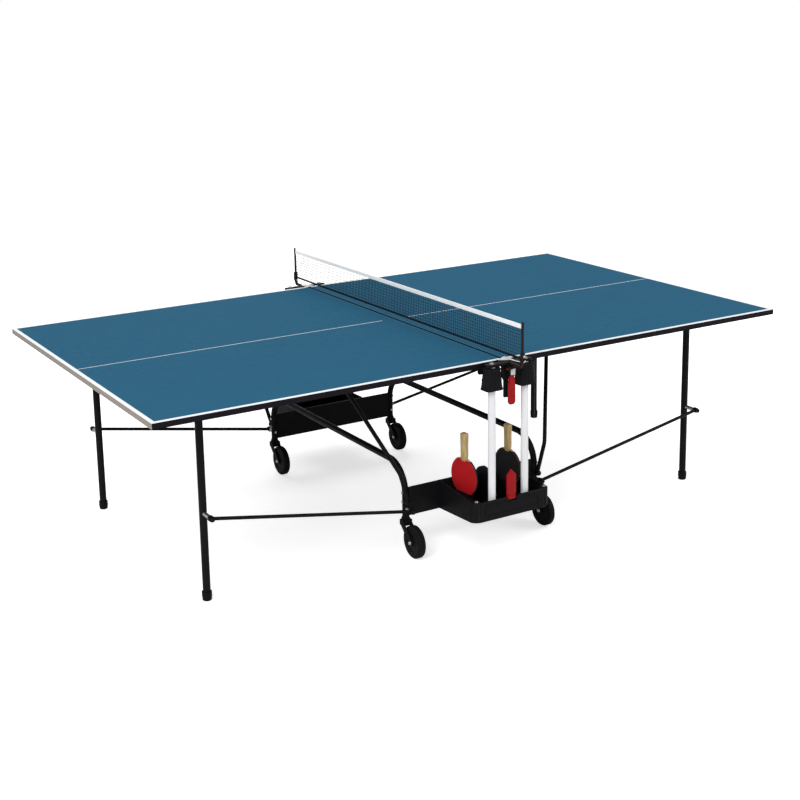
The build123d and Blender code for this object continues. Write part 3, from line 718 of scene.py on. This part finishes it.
POST_TIP = 0.46
POST_SLIM = 0.52
CLAMP_HEIGHT = 0.022
WIRE_RADIUS = 0.0019
WIRE_BEND = 0.006
WIRE_ROUTE = ((-0.101, 0.006), (0.006, 0.013), (0.017, 0.022))
KNOB_PROFILE = ((0, 0.0045), (0.003, 0.0045), (0.004, 0.003), (0.0045, 0.0012))
PLATE_RADIUS = 0.036
PLATE_CORNER = 0.007
PLATE_HEIGHT = 0.0022
PLATE_LIFT = 0.0012
PLATE_SHIFT = 0.003
PLATE_REACH = 0.010
PLATE_EDGE = 0.0006


def make_net_post(side, sign):
    low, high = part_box("net_posts")
    radius = (high.x - low.x) / 2
    place = Vector((0, sign * (high.y - radius), low.z))
    height = high.z - low.z
    post = turned(
        f"net_post_{side}",
        place,
        UP,
        [
            (0.0, radius * 0.92),
            (0.002, radius),
            (CLAMP_HEIGHT, radius),
            (CLAMP_HEIGHT + 0.002, radius * POST_SLIM),
            (height - 0.014, radius * POST_TIP),
            (height - 0.012, radius * POST_SLIM),
            (height + 0.006, radius * POST_SLIM),
            (height + 0.009, radius * 0.4),
        ],
        32,
    )
    fit_piece(post, "carriage", "net_post_plastic", BROWN, "net_posts")
    knob = turned(
        f"clamp_screw_{side}",
        place + Vector((0, sign * radius * 0.8, CLAMP_HEIGHT / 2)),
        (0, sign, 0),
        KNOB_PROFILE,
        20,
    )
    fit_piece(knob, "carriage", "zinc_steel", STEEL)


def make_net_wire(side, sign):
    # The pale spring wire under the net's lower corner
    low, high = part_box("net_posts")
    post_centre = high.y - (high.x - low.x) / 2
    wire = bead(
        f"net_wire_{side}",
        [(0, sign * (post_centre + reach), cad_top_z + rise) for reach, rise in WIRE_ROUTE],
        WIRE_RADIUS,
        WIRE_BEND,
        closed=False,
    )
    fit_piece(wire, "carriage", "zinc_steel", PALE)


def make_rest_plate(side, sign):
    # The pale pointed plate that lies over the boards' corner under the net
    deselect()
    bpy.ops.mesh.primitive_circle_add(
        vertices=3,
        radius=PLATE_RADIUS,
        fill_type="NGON",
        location=(PLATE_SHIFT, sign * (cad_top_half_width + PLATE_REACH), cad_top_z + PLATE_LIFT),
        rotation=(0, 0, math.radians(-90) * sign),
    )
    plate = bpy.context.object
    plate.name = f"net_rest_{side}"
    settle(plate)
    bpy.ops.object.mode_set(mode="EDIT")
    bpy.ops.mesh.select_all(action="SELECT")
    bpy.ops.mesh.bevel(offset=PLATE_CORNER, segments=5, affect="VERTICES")
    bpy.ops.mesh.select_all(action="SELECT")
    bpy.ops.mesh.extrude_region_move(TRANSFORM_OT_translate={"value": UP * PLATE_HEIGHT})
    bpy.ops.mesh.select_all(action="SELECT")
    bpy.ops.mesh.normals_make_consistent(inside=False)
    bpy.ops.object.mode_set(mode="OBJECT")
    apply_modifier(plate, "BEVEL", width=PLATE_EDGE, segments=2, limit_method="ANGLE")
    fit_piece(smooth(plate), "carriage", "zinc_steel", PALE)


for side, sign in SIDES.items():
    make_net_post(side, sign)
    make_net_wire(side, sign)
    make_rest_plate(side, sign)


# Sliders on the guide posts

POST_RADIUS = 0.014
SLIDER_TAPER_ALONG = 0.009
SLIDER_TAPER_ACROSS = 0.0035
SLIDER_CORNER = 0.015
SLIDER_WALL = 0.006
BAND_PROUD = 0.0010
SLIDER_BANDS = ((0.0, 0.008), (0.40, 0.005), (0.88, 0.007))
RIB_WIDTH = 0.0034
RIB_DEPTH = 0.003
RIB_STEP = 0.011
SLIDER_RIB_PROUD = 0.0009
SLIDER_RIB_EDGE = 0.0006
SLIDER_BAND_EDGE = 0.0012
post_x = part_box("guide_posts")[1].x - POST_RADIUS
post_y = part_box("guide_posts")[1].y - POST_RADIUS


def make_slider_ribs(half, x_sign, side, y_sign):
    # Upright ribs that follow the slope of the slider's two ends and its outer face
    low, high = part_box(f"sliders_{half}")
    height = high.z - low.z
    middle = Vector((x_sign * post_x, y_sign * post_y, (low.z + high.z) / 2))
    rib = slab(
        f"slider_rib_{side}_{half}",
        (-RIB_WIDTH / 2, -RIB_DEPTH, -height / 2),
        (RIB_WIDTH / 2, SLIDER_RIB_PROUD, height / 2),
        SLIDER_RIB_EDGE,
        2,
    )
    along = (high.x - low.x - SLIDER_TAPER_ALONG) / 2
    across = high.y - post_y - SLIDER_TAPER_ACROSS / 2
    lean_along = Matrix.Rotation(math.atan2(SLIDER_TAPER_ALONG, height), 4, "X")
    lean_across = Matrix.Rotation(math.atan2(SLIDER_TAPER_ACROSS, height), 4, "X")
    faces = [
        (ALONG * along, -90, lean_along, (-0.5, 0.5)),
        (ALONG * -along, 90, lean_along, (-0.5, 0.5)),
        (ACROSS * across * y_sign, 90 - 90 * y_sign, lean_across, (-1, 0, 1)),
    ]
    ribs = []
    for reach, turn, lean, steps in faces:
        for step in steps:
            facing = Matrix.Rotation(math.radians(turn), 4, "Z")
            aside = Matrix.Translation(ALONG * RIB_STEP * step)
            place = Matrix.Translation(middle + reach) @ facing @ aside @ lean
            ribs.append(copy_piece(rib, f"{rib.name}_{len(ribs)}", place))
    bpy.data.objects.remove(rib)
    return ribs


def make_slider_trim(half, x_sign, side, y_sign):
    # Bands round the slider, which narrows upwards, joined with its ribs
    low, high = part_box(f"sliders_{half}")
    axis = Vector((x_sign * post_x, y_sign * post_y, low.z))
    height = high.z - low.z
    bands = []
    for level, tall in SLIDER_BANDS:
        bands.append(
            hollow_band(
                f"slider_band_{side}_{half}",
                axis + UP * height * level,
                (high.x - low.x) / 2 - SLIDER_TAPER_ALONG * level + BAND_PROUD,
                high.y - post_y - SLIDER_TAPER_ACROSS * level + BAND_PROUD,
                SLIDER_CORNER,
                tall,
                SLIDER_WALL,
                SLIDER_BAND_EDGE,
            )
        )
    trim = join(f"slider_trim_{side}_{half}", bands + make_slider_ribs(half, x_sign, side, y_sign))
    fit_piece(trim, f"sliders_{half}", "black_plastic", MOULD)


for half, x_sign in HALVES.items():
    for side, y_sign in SIDES.items():
        make_slider_trim(half, x_sign, side, y_sign)


# Bolt heads

BODY_OF = {
    node: body for body, members in frame["record"]["behaviour"]["bodies"].items() for node in members
}


def hex_head(name, seat, direction, across, height, body):
    # A hexagon head with a chamfered crown and a washer under it
    half = across / 2 / math.cos(math.pi / 6)
    head = turned(
        f"{name}_head", seat, direction, [(0, half), (height * 0.78, half), (height, half * 0.82)], 6
    )
    washer = turned(
        f"{name}_washer",
        seat,
        direction,
        [(0, half * 1.22), (height * 0.14, half * 1.25), (height * 0.22, half * 1.2)],
        36,
    )
    bolt = join(name, [head, washer])
    smooth(bolt, 20)
    return fit_piece(bolt, body, "zinc_steel", STEEL)


BRIDGE_HEX = 0.0152
BRIDGE_HEX_HEIGHT = 0.0055
SCREW_HEX = 0.0108
SCREW_HEX_HEIGHT = 0.0044
bridge_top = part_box("post_bridges")[1].z


def make_bridge_bolts():
    for half, x_sign in HALVES.items():
        for side, y_sign in SIDES.items():
            seat = (x_sign * post_x, y_sign * post_y, bridge_top)
            hex_head(f"bridge_bolt_{side}_{half}", seat, UP, BRIDGE_HEX, BRIDGE_HEX_HEIGHT, "carriage")


make_bridge_bolts()

CAP_RADIUS = 0.0092
CAP_OVERLAP = 0.0003
ROD_CAP_HEIGHT = 0.0070
STRUT_CAP_HEIGHT = 0.0008
BOLT_HEAD = 0.0045
PIVOT_HEAD_RADIUS = 0.008


def pivot_cap(name, body, head, sign, height):
    # A plastic cap over a pivot bolt's head, whose outer face is at the given place
    cap = turned(
        name,
        head - ACROSS * sign * (BOLT_HEAD - CAP_OVERLAP),
        ACROSS * sign,
        [
            (0.0, CAP_RADIUS),
            (BOLT_HEAD, CAP_RADIUS),
            (BOLT_HEAD + height * 0.6, CAP_RADIUS * 0.9),
            (BOLT_HEAD + height, CAP_RADIUS * 0.55),
        ],
        32,
    )
    fit_piece(cap, body, "black_plastic", MOULD)


def make_pivot_caps(half, x_sign, side, y_sign):
    # Caps at both ends of a link rod and at the foot of a strut
    rod_low, rod_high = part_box(f"rod_bolts_{half}")
    swing_low, swing_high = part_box(f"swing_bolts_{half}")
    inner_x = min(abs(rod_low.x), abs(rod_high.x)) + PIVOT_HEAD_RADIUS
    outer_x = max(abs(rod_low.x), abs(rod_high.x)) - PIVOT_HEAD_RADIUS
    inner = Vector((x_sign * inner_x, y_sign * rod_high.y, rod_low.z + PIVOT_HEAD_RADIUS))
    outer = Vector((x_sign * outer_x, y_sign * rod_high.y, rod_high.z - PIVOT_HEAD_RADIUS))
    strut = Vector((x_sign * inner_x, y_sign * swing_high.y, swing_low.z + PIVOT_HEAD_RADIUS))
    pivot_cap(f"rod_cap_inner_{side}_{half}", f"rods_{half}", inner, y_sign, ROD_CAP_HEIGHT)
    pivot_cap(f"rod_cap_outer_{side}_{half}", f"rods_{half}", outer, y_sign, ROD_CAP_HEIGHT)
    pivot_cap(f"strut_cap_{side}_{half}", f"swing_{half}", strut, y_sign, STRUT_CAP_HEIGHT)


for half, x_sign in HALVES.items():
    for side, y_sign in SIDES.items():
        make_pivot_caps(half, x_sign, side, y_sign)


# Release levers

GRIP_HALF = 0.0152
GRIP_DEPTH = 0.0074
GRIP_CORNER = 0.0035
GRIP_STATIONS = (
    (-0.0015, 0.58, 0.62),
    (0.0020, 0.78, 0.88),
    (0.0080, 1, 1),
    (0.0760, 0.96, 1),
    (0.0980, 0.68, 0.95),
    (0.1080, 0.60, 0.85),
    (0.1095, 0.54, 0.70),
)
RIDGES = 4
RIDGE_START = 0.020
RIDGE_STEP = 0.011
RIDGE_TALL = 0.0040
RIDGE_HALF = GRIP_HALF * 0.7
RIDGE_PROUD = 0.0010
RIDGE_EDGE = 0.0008
YOKE_HALF = 0.0143
YOKE_DEPTH = 0.0084
YOKE_CORNER = 0.0030
YOKE_STATIONS = ((0.1070, 0.8, 0.8), (0.1110, 1, 1), (0.1412, 1, 1), (0.1426, 0.98, 0.9))
TAB_HALF = 0.0100
TAB_LOW = 0.111
TAB_HIGH = 0.133
TAB_THICKNESS = 0.0022
TAB_SINK = 0.0006
TAB_EDGE = 0.0009
GUARD_HALF = 0.010
GUARD_SHIFT = 0.012
GUARD_START = 0.022
GUARD_CORNER = 0.0020
GUARD_STATIONS = (
    (0.0, 0.7, 0.0030),
    (0.003, 1, 0.0040),
    (0.066, 1, 0.0040),
    (0.080, 2, 0.0060),
    (0.128, 2, 0.0060),
)


def make_release_grip(side, sign):
    # The red paddle, with finger ridges on its outer face
    low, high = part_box(f"release_lever_{side}")
    middle = Vector((0, (low.y + high.y) / 2, low.z))
    stations = [(level, GRIP_HALF * wide, GRIP_DEPTH * deep) for level, wide, deep in GRIP_STATIONS]
    pieces = [lofted(f"release_grip_{side}", middle, stations, GRIP_CORNER)]
    face = middle.y + sign * GRIP_DEPTH
    for index in range(RIDGES):
        level = low.z + RIDGE_START + index * RIDGE_STEP
        pieces.append(
            slab(
                f"release_ridge_{side}_{index}",
                (-RIDGE_HALF, face - RIDGE_PROUD, level),
                (RIDGE_HALF, face + RIDGE_PROUD, level + RIDGE_TALL),
                RIDGE_EDGE,
            )
        )
    grip = join(f"release_grip_{side}", pieces)
    fit_piece(grip, f"release_lever_{side}", "red_plastic", RED)


def make_release_yoke(side, sign):
    # The black head of the lever and the bright tab on it
    low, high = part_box(f"release_lever_{side}")
    middle = Vector((0, (low.y + high.y) / 2, low.z))
    stations = [(level, YOKE_HALF * wide, YOKE_DEPTH * deep) for level, wide, deep in YOKE_STATIONS]
    yoke = lofted(f"release_yoke_{side}", middle, stations, YOKE_CORNER)
    fit_piece(yoke, f"release_lever_{side}", "black_plastic", MOULD)
    inner = middle.y + sign * (YOKE_DEPTH - TAB_SINK)
    outer = inner + sign * TAB_THICKNESS
    tab = slab(
        f"release_tab_{side}",
        (-TAB_HALF, min(inner, outer), low.z + TAB_LOW),
        (TAB_HALF, max(inner, outer), low.z + TAB_HIGH),
        TAB_EDGE,
    )
    fit_piece(tab, f"release_lever_{side}", "zinc_steel", STEEL)


def make_release_guard(side, sign):
    # The dark fixed tongue behind the lever
    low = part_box(f"release_lever_{side}")[0]
    place = (sign * GUARD_SHIFT, sign * post_y, low.z + GUARD_START)
    stations = [(level, GUARD_HALF * wide, deep) for level, wide, deep in GUARD_STATIONS]
    guard = lofted(f"release_guard_{side}", place, stations, GUARD_CORNER)
    fit_piece(guard, "carriage", "black_plastic", MOULD)


LATCH_HALF = 0.020
LATCH_DEPTH = 0.0050
LATCH_START = 0.0185
LATCH_POINT = 0.019
LATCH_CORNER = 0.0018


def make_latch_cover(side):
    # The pointed red cover of the latch
    low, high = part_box(f"tray_latch_{side}")
    middle = Vector((0, (low.y + high.y) / 2, low.z + LATCH_START))
    tall = high.z - middle.z
    cover = lofted(
        f"latch_cover_{side}",
        middle,
        [
            (0.0, LATCH_HALF * 0.98, LATCH_DEPTH * 0.84),
            (0.002, LATCH_HALF, LATCH_DEPTH),
            (tall - LATCH_POINT, LATCH_HALF, LATCH_DEPTH),
            (tall, LATCH_HALF * 0.10, LATCH_DEPTH * 0.86),
            (tall + 0.0012, LATCH_HALF * 0.05, LATCH_DEPTH * 0.70),
        ],
        LATCH_CORNER,
    )
    fit_piece(cover, f"tray_latch_{side}", "red_plastic", RED)


for side, sign in SIDES.items():
    make_release_grip(side, sign)
    make_release_yoke(side, sign)
    make_release_guard(side, sign)
    make_latch_cover(side)


# Trays and panels

RIM_RADIUS = 0.0042
RIM_NOTCH = 0.0245
RIM_FRONT_Z = 0.246
TRAY_FRONT_BOTTOM = 0.172
TRAY_BEND = 0.030
TRAY_HALF_BACK = 0.150
COLUMN_RADIUS = 0.015
COLUMN_INSET = 0.014
FRAME_BEAD = 0.0022
FRAME_MARGIN = 0.018
FRAME_BEND = 0.008
COLUMN_CROWN = 0.005


def make_tray_trim(side, sign):
    # Rims, corner columns with bolts, and the raised border of the outer wall
    low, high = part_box(f"tray_{side}")
    outer_y = high.y if sign > 0 else low.y
    inner_y = low.y if sign > 0 else high.y
    front_top, back_top = RIM_FRONT_Z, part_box(f"panel_{side}")[1].z
    rim = bead(
        f"tray_rim_{side}_right",
        [
            (RIM_NOTCH, outer_y, front_top),
            (high.x, outer_y, front_top),
            (TRAY_HALF_BACK, inner_y, back_top),
        ],
        RIM_RADIUS,
        TRAY_BEND,
        closed=False,
    )
    rims = [rim, copy_piece(rim, f"tray_rim_{side}_left", MIRROR_ALONG)]
    for piece in rims:
        fit_piece(piece, "carriage", "carriage_plastic", TRAY)
    for x_sign, label in ((-1, "left"), (1, "right")):
        place = Vector(
            (x_sign * (high.x - COLUMN_INSET), outer_y - sign * COLUMN_INSET, TRAY_FRONT_BOTTOM)
        )
        height = front_top - TRAY_FRONT_BOTTOM
        column = turned(
            f"tray_column_{side}_{label}",
            place,
            UP,
            [
                (0.004, COLUMN_RADIUS * 0.8),
                (0.010, COLUMN_RADIUS),
                (height, COLUMN_RADIUS),
                (height + 0.003, COLUMN_RADIUS * 0.96),
                (height + COLUMN_CROWN, COLUMN_RADIUS * 0.8),
            ],
        )
        fit_piece(column, "carriage", "carriage_plastic", TRAY)
        hex_head(
            f"tray_bolt_{side}_{label}",
            place + UP * (height + COLUMN_CROWN),
            UP,
            SCREW_HEX,
            SCREW_HEX_HEIGHT,
            "carriage",
        )
    face_y = outer_y + sign * FRAME_BEAD * 0.3
    wide = high.x - TRAY_BEND - FRAME_MARGIN
    bottom, top = TRAY_FRONT_BOTTOM + FRAME_MARGIN, front_top - FRAME_MARGIN
    border = bead(
        f"tray_border_{side}",
        [(-wide, face_y, bottom), (wide, face_y, bottom), (wide, face_y, top), (-wide, face_y, top)],
        FRAME_BEAD,
        FRAME_BEND,
    )
    fit_piece(border, "carriage", "carriage_plastic", TRAY)


for side, sign in SIDES.items():
    make_tray_trim(side, sign)


# Casters

NECK_RADIUS = 0.015
RIB_PROUD = 0.0022
CASTER_LOW = 0.116
CASTER_RIBS = 4
CASTER_RIB_STEP = 0.0062
CASTER_RIB_SINK = 0.002
DOME_SINK = 0.004
DOME_PROFILE = ((0, 0.0072), (0.0042, 0.0072), (0.0062, 0.0058), (0.0072, 0.0032))
DISC_PROFILE = (
    (-0.0045, 0.0155),
    (-0.0006, 0.0155),
    (-0.0030, 0.026),
    (-0.0022, 0.0385),
    (0.0003, 0.0455),
    (-0.0045, 0.0455),
)
arch_low, arch_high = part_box("arch_right")
caster_x = (arch_low.x + arch_high.x) / 2
caster_y = arch_high.y - (arch_high.x - arch_low.x) / 2


def make_caster_trim(half, x_sign, side, y_sign):
    # A ribbed neck over the fork, and an axle head and a wheel cover on each side
    stem = Vector((x_sign * caster_x, y_sign * caster_y, CASTER_LOW))
    ribs = []
    for index in range(CASTER_RIBS):
        level = index * CASTER_RIB_STEP
        ribs.append(
            lathe_ring(
                f"caster_rib_{side}_{half}_{index}",
                stem,
                UP,
                [
                    (level, NECK_RADIUS - CASTER_RIB_SINK),
                    (level, NECK_RADIUS + RIB_PROUD * 0.7),
                    (level + 0.001, NECK_RADIUS + RIB_PROUD),
                    (level + 0.003, NECK_RADIUS + RIB_PROUD),
                    (level + 0.004, NECK_RADIUS + RIB_PROUD * 0.7),
                    (level + 0.004, NECK_RADIUS - CASTER_RIB_SINK),
                ],
                44,
            )
        )
    neck = join(f"caster_neck_{side}_{half}", ribs)
    fit_piece(neck, f"caster_{side}_{half}", "black_plastic", MOULD)
    hub_low, hub_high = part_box(f"wheel_hub_{side}_{half}")
    axle_low, axle_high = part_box(f"wheel_axle_{side}_{half}")
    centre = (axle_low + axle_high) / 2
    for end, label in ((-1, "inner"), (1, "outer")):
        seat = Vector((axle_low.x if end < 0 else axle_high.x, centre.y, centre.z))
        dome = turned(
            f"axle_dome_{side}_{half}_{label}",
            seat - ALONG * end * DOME_SINK,
            ALONG * end,
            DOME_PROFILE,
            28,
        )
        fit_piece(dome, BODY_OF[f"wheel_axle_{side}_{half}"], "zinc_steel", STEEL)
        cover = lathe_ring(
            f"wheel_disc_{side}_{half}_{label}",
            Vector((hub_low.x if end < 0 else hub_high.x, centre.y, centre.z)),
            ALONG * end,
            DISC_PROFILE,
            56,
        )
        fit_piece(cover, BODY_OF[f"wheel_hub_{side}_{half}"], "hub_plastic", HUB)


for half, x_sign in HALVES.items():
    for side, y_sign in SIDES.items():
        make_caster_trim(half, x_sign, side, y_sign)


# Foot caps

FOOT_LIPS = (0.0150, 0.0225, 0.0300)
LIP_PROUD = 0.0014
LIP_TALL = 0.0036
LIP_SINK = 0.001


def make_foot_lips(half, side, y_sign):
    # Raised rings round a foot cap
    low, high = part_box(f"leg_feet_{half}")
    radius = (high.x - low.x) / 2
    place = Vector(((low.x + high.x) / 2, y_sign * (high.y - radius), 0))
    lips = []
    for level in FOOT_LIPS:
        lips.append(
            lathe_ring(
                f"foot_lip_{side}_{half}",
                place,
                UP,
                [
                    (level, radius - LIP_SINK),
                    (level, radius + LIP_PROUD * 0.5),
                    (level + LIP_TALL * 0.25, radius + LIP_PROUD),
                    (level + LIP_TALL * 0.75, radius + LIP_PROUD),
                    (level + LIP_TALL, radius + LIP_PROUD * 0.5),
                    (level + LIP_TALL, radius - LIP_SINK),
                ],
                40,
            )
        )
    fit_piece(join(f"foot_lips_{side}_{half}", lips), f"legs_{half}", "black_plastic", MOULD)


for half in HALVES:
    for side, y_sign in SIDES.items():
        make_foot_lips(half, side, y_sign)


# Bats, stored blade down in the front tray

BAT_TURN = math.radians(5)
BAT_RADIUS = 0.075
BAT_CORE = 0.006
BAT_RUBBER = 0.002
BAT_EDGE_TAPE = 0.0008
RUBBER_STOP = 0.066
HANDLE_HALF_WIDTH = 0.013
HANDLE_HALF_DEPTH = 0.011
HANDLE_LOW = 0.061
HANDLE_CORNER = 0.0045


def disc(name, radius, low_x, high_x, sides=96):
    return turned(name, (low_x, 0, 0), ALONG, [(0, radius), (high_x - low_x, radius)], sides)


def cut_above(piece, height):
    # Takes off what is above a level and closes the cut
    pick(piece)
    bpy.ops.object.mode_set(mode="EDIT")
    bpy.ops.mesh.select_all(action="SELECT")
    bpy.ops.mesh.bisect(plane_co=(0, 0, height), plane_no=(0, 0, 1), use_fill=True, clear_outer=True)
    bpy.ops.object.mode_set(mode="OBJECT")
    return piece


def make_bat_handle(name, handle_high):
    # A handle that widens towards its end
    wide, deep = HANDLE_HALF_WIDTH, HANDLE_HALF_DEPTH
    return lofted(
        name,
        (0, 0, 0),
        [
            (HANDLE_LOW, deep * 0.50, wide * 0.98),
            (HANDLE_LOW + 0.010, deep * 0.85, wide),
            (HANDLE_LOW + 0.024, deep, wide),
            (handle_high - 0.040, deep, wide),
            (handle_high - 0.012, deep * 1.08, wide * 1.10),
            (handle_high - 0.002, deep * 1.08, wide * 1.12),
            (handle_high, deep * 0.92, wide),
        ],
        HANDLE_CORNER,
    )


def make_bat(colour, left_rubber, right_rubber):
    # Modelled upright about the blade's centre, then put in its place
    low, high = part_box(f"bat_{colour}")
    centre = Vector(((low.x + high.x) / 2, (low.y + high.y) / 2, low.z + BAT_RADIUS))
    place = Matrix.Translation(centre) @ Matrix.Rotation(BAT_TURN, 4, "Z")
    body = f"bat_{colour}"
    core_half = BAT_CORE / 2
    core = disc(f"bat_{colour}_core", BAT_RADIUS - BAT_EDGE_TAPE, -core_half, core_half)
    tape = lathe_ring(
        f"bat_{colour}_edge_tape",
        (0, 0, 0),
        ALONG,
        [
            (-core_half, BAT_RADIUS - BAT_EDGE_TAPE),
            (-core_half, BAT_RADIUS),
            (core_half, BAT_RADIUS),
            (core_half, BAT_RADIUS - BAT_EDGE_TAPE),
        ],
        96,
    )
    tape = cut_above(tape, RUBBER_STOP)
    handle = make_bat_handle(f"bat_{colour}_handle", high.z - centre.z)
    sheets = []
    for face, label in ((-1, "left"), (1, "right")):
        sheet = disc(
            f"bat_{colour}_rubber_{label}",
            BAT_RADIUS - BAT_EDGE_TAPE * 1.5,
            min(face * core_half, face * (core_half + BAT_RUBBER)),
            max(face * core_half, face * (core_half + BAT_RUBBER)),
        )
        sheets.append(smooth(cut_above(sheet, RUBBER_STOP)))
    looks = [(core, WOOD), (tape, BLACK_RUBBER), (handle, WOOD)]
    looks += list(zip(sheets, (left_rubber, right_rubber)))
    for piece, material in looks:
        piece.data.transform(place)
        fit_piece(piece, body, f"bat_{colour}", material)
    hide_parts(f"bat_{colour}")


make_bat("red", RED_RUBBER, BLACK_RUBBER)
make_bat("black", BLACK_RUBBER, RED_RUBBER)


# Stage: floor, light and camera

FLOOR_RADIUS = 60.0
FLOOR_PAPER = (0.86, 0.86, 0.86, 1)
FLOOR_NEAR = 1.2
FLOOR_FAR = 4.5
FLOOR_GLOW = 0.62
WORLD_LIGHT = 0.42
SENSOR_WIDTH = 36.0


def square(tree, value):
    return add_math(tree, "MULTIPLY", value, value)


def make_floor():
    # White paper that glows more with distance, as the camera sees it
    deselect()
    bpy.ops.mesh.primitive_circle_add(vertices=96, radius=FLOOR_RADIUS, fill_type="NGON", location=(0, 0, 0))
    floor = bpy.context.object
    floor.name = "studio_floor"
    material, tree, shader = start_material("floor_paper")
    shader.inputs["Base Color"].default_value = FLOOR_PAPER
    shader.inputs["Roughness"].default_value = 0.9
    shader.inputs["Emission Color"].default_value = (1, 1, 1, 1)
    along, across, height = object_axes(tree)
    far = add_math(tree, "SQRT", add_math(tree, "ADD", square(tree, along), square(tree, across)))
    glow = add_range(tree, far, FLOOR_NEAR, FLOOR_FAR, FLOOR_GLOW, 1.0)
    ray = tree.nodes.new("ShaderNodeLightPath")
    glow = add_math(tree, "MULTIPLY", glow, ray.outputs["Is Camera Ray"])
    tree.links.new(glow, shader.inputs["Emission Strength"])
    dress(floor, material)


def make_world():
    # White to the camera, dimmer as a light
    world = bpy.data.worlds.new("studio")
    bpy.context.scene.world = world
    world.use_nodes = True
    tree = world.node_tree
    ray = tree.nodes.new("ShaderNodeLightPath")
    backdrop = tree.nodes["Background"]
    backdrop.inputs["Color"].default_value = (1, 1, 1, 1)
    strength = add_range(tree, ray.outputs["Is Camera Ray"], 0.0, 1.0, WORLD_LIGHT, 1.0)
    tree.links.new(strength, backdrop.inputs["Strength"])


def make_lamp(name, place, target, size, power, mirrored=True):
    light = bpy.data.lights.new(name, "AREA")
    light.shape = "RECTANGLE"
    light.size, light.size_y = size
    light.energy = power
    lamp = bpy.data.objects.new(name, light)
    bpy.context.scene.collection.objects.link(lamp)
    lamp.location = place
    lamp.visible_glossy = mirrored
    lamp.rotation_euler = (Vector(target) - Vector(place)).to_track_quat("-Z", "Y").to_euler()


def make_camera():
    ahead = Vector(
        (
            math.sin(CAMERA_HEADING) * math.cos(CAMERA_DIP),
            math.cos(CAMERA_HEADING) * math.cos(CAMERA_DIP),
            -math.sin(CAMERA_DIP),
        )
    )
    level = ahead.cross(UP).normalized()
    upright = level.cross(ahead)
    right = level * math.cos(CAMERA_ROLL) + upright * math.sin(CAMERA_ROLL)
    up = upright * math.cos(CAMERA_ROLL) - level * math.sin(CAMERA_ROLL)
    lens = bpy.data.cameras.new("photo_camera")
    lens.sensor_width = SENSOR_WIDTH
    lens.lens = CAMERA_LENS
    lens.shift_x, lens.shift_y = CAMERA_SHIFT
    lens.clip_end = 200.0
    camera = bpy.data.objects.new("photo_camera", lens)
    bpy.context.scene.collection.objects.link(camera)
    turn = Matrix((right, up, -ahead)).transposed().to_4x4()
    camera.matrix_world = Matrix.Translation(CAMERA_PLACE) @ turn
    bpy.context.scene.camera = camera


make_floor()
make_world()
make_lamp("key_softbox", place=(-4.8, -3.8, 5.2), target=(0, 0, 0.6), size=(4.0, 4.0), power=350)
make_lamp("fill_softbox", place=(4.5, -3.0, 3.5), target=(0, 0, 0.5), size=(3.5, 3.5), power=130)
make_lamp(
    "back_softbox",
    place=(0.5, 5.0, 4.5),
    target=(0, 0, 0.7),
    size=(5.0, 2.5),
    power=160,
    mirrored=False,
)
make_camera()
bpy.context.scene.view_settings.view_transform = "Standard"
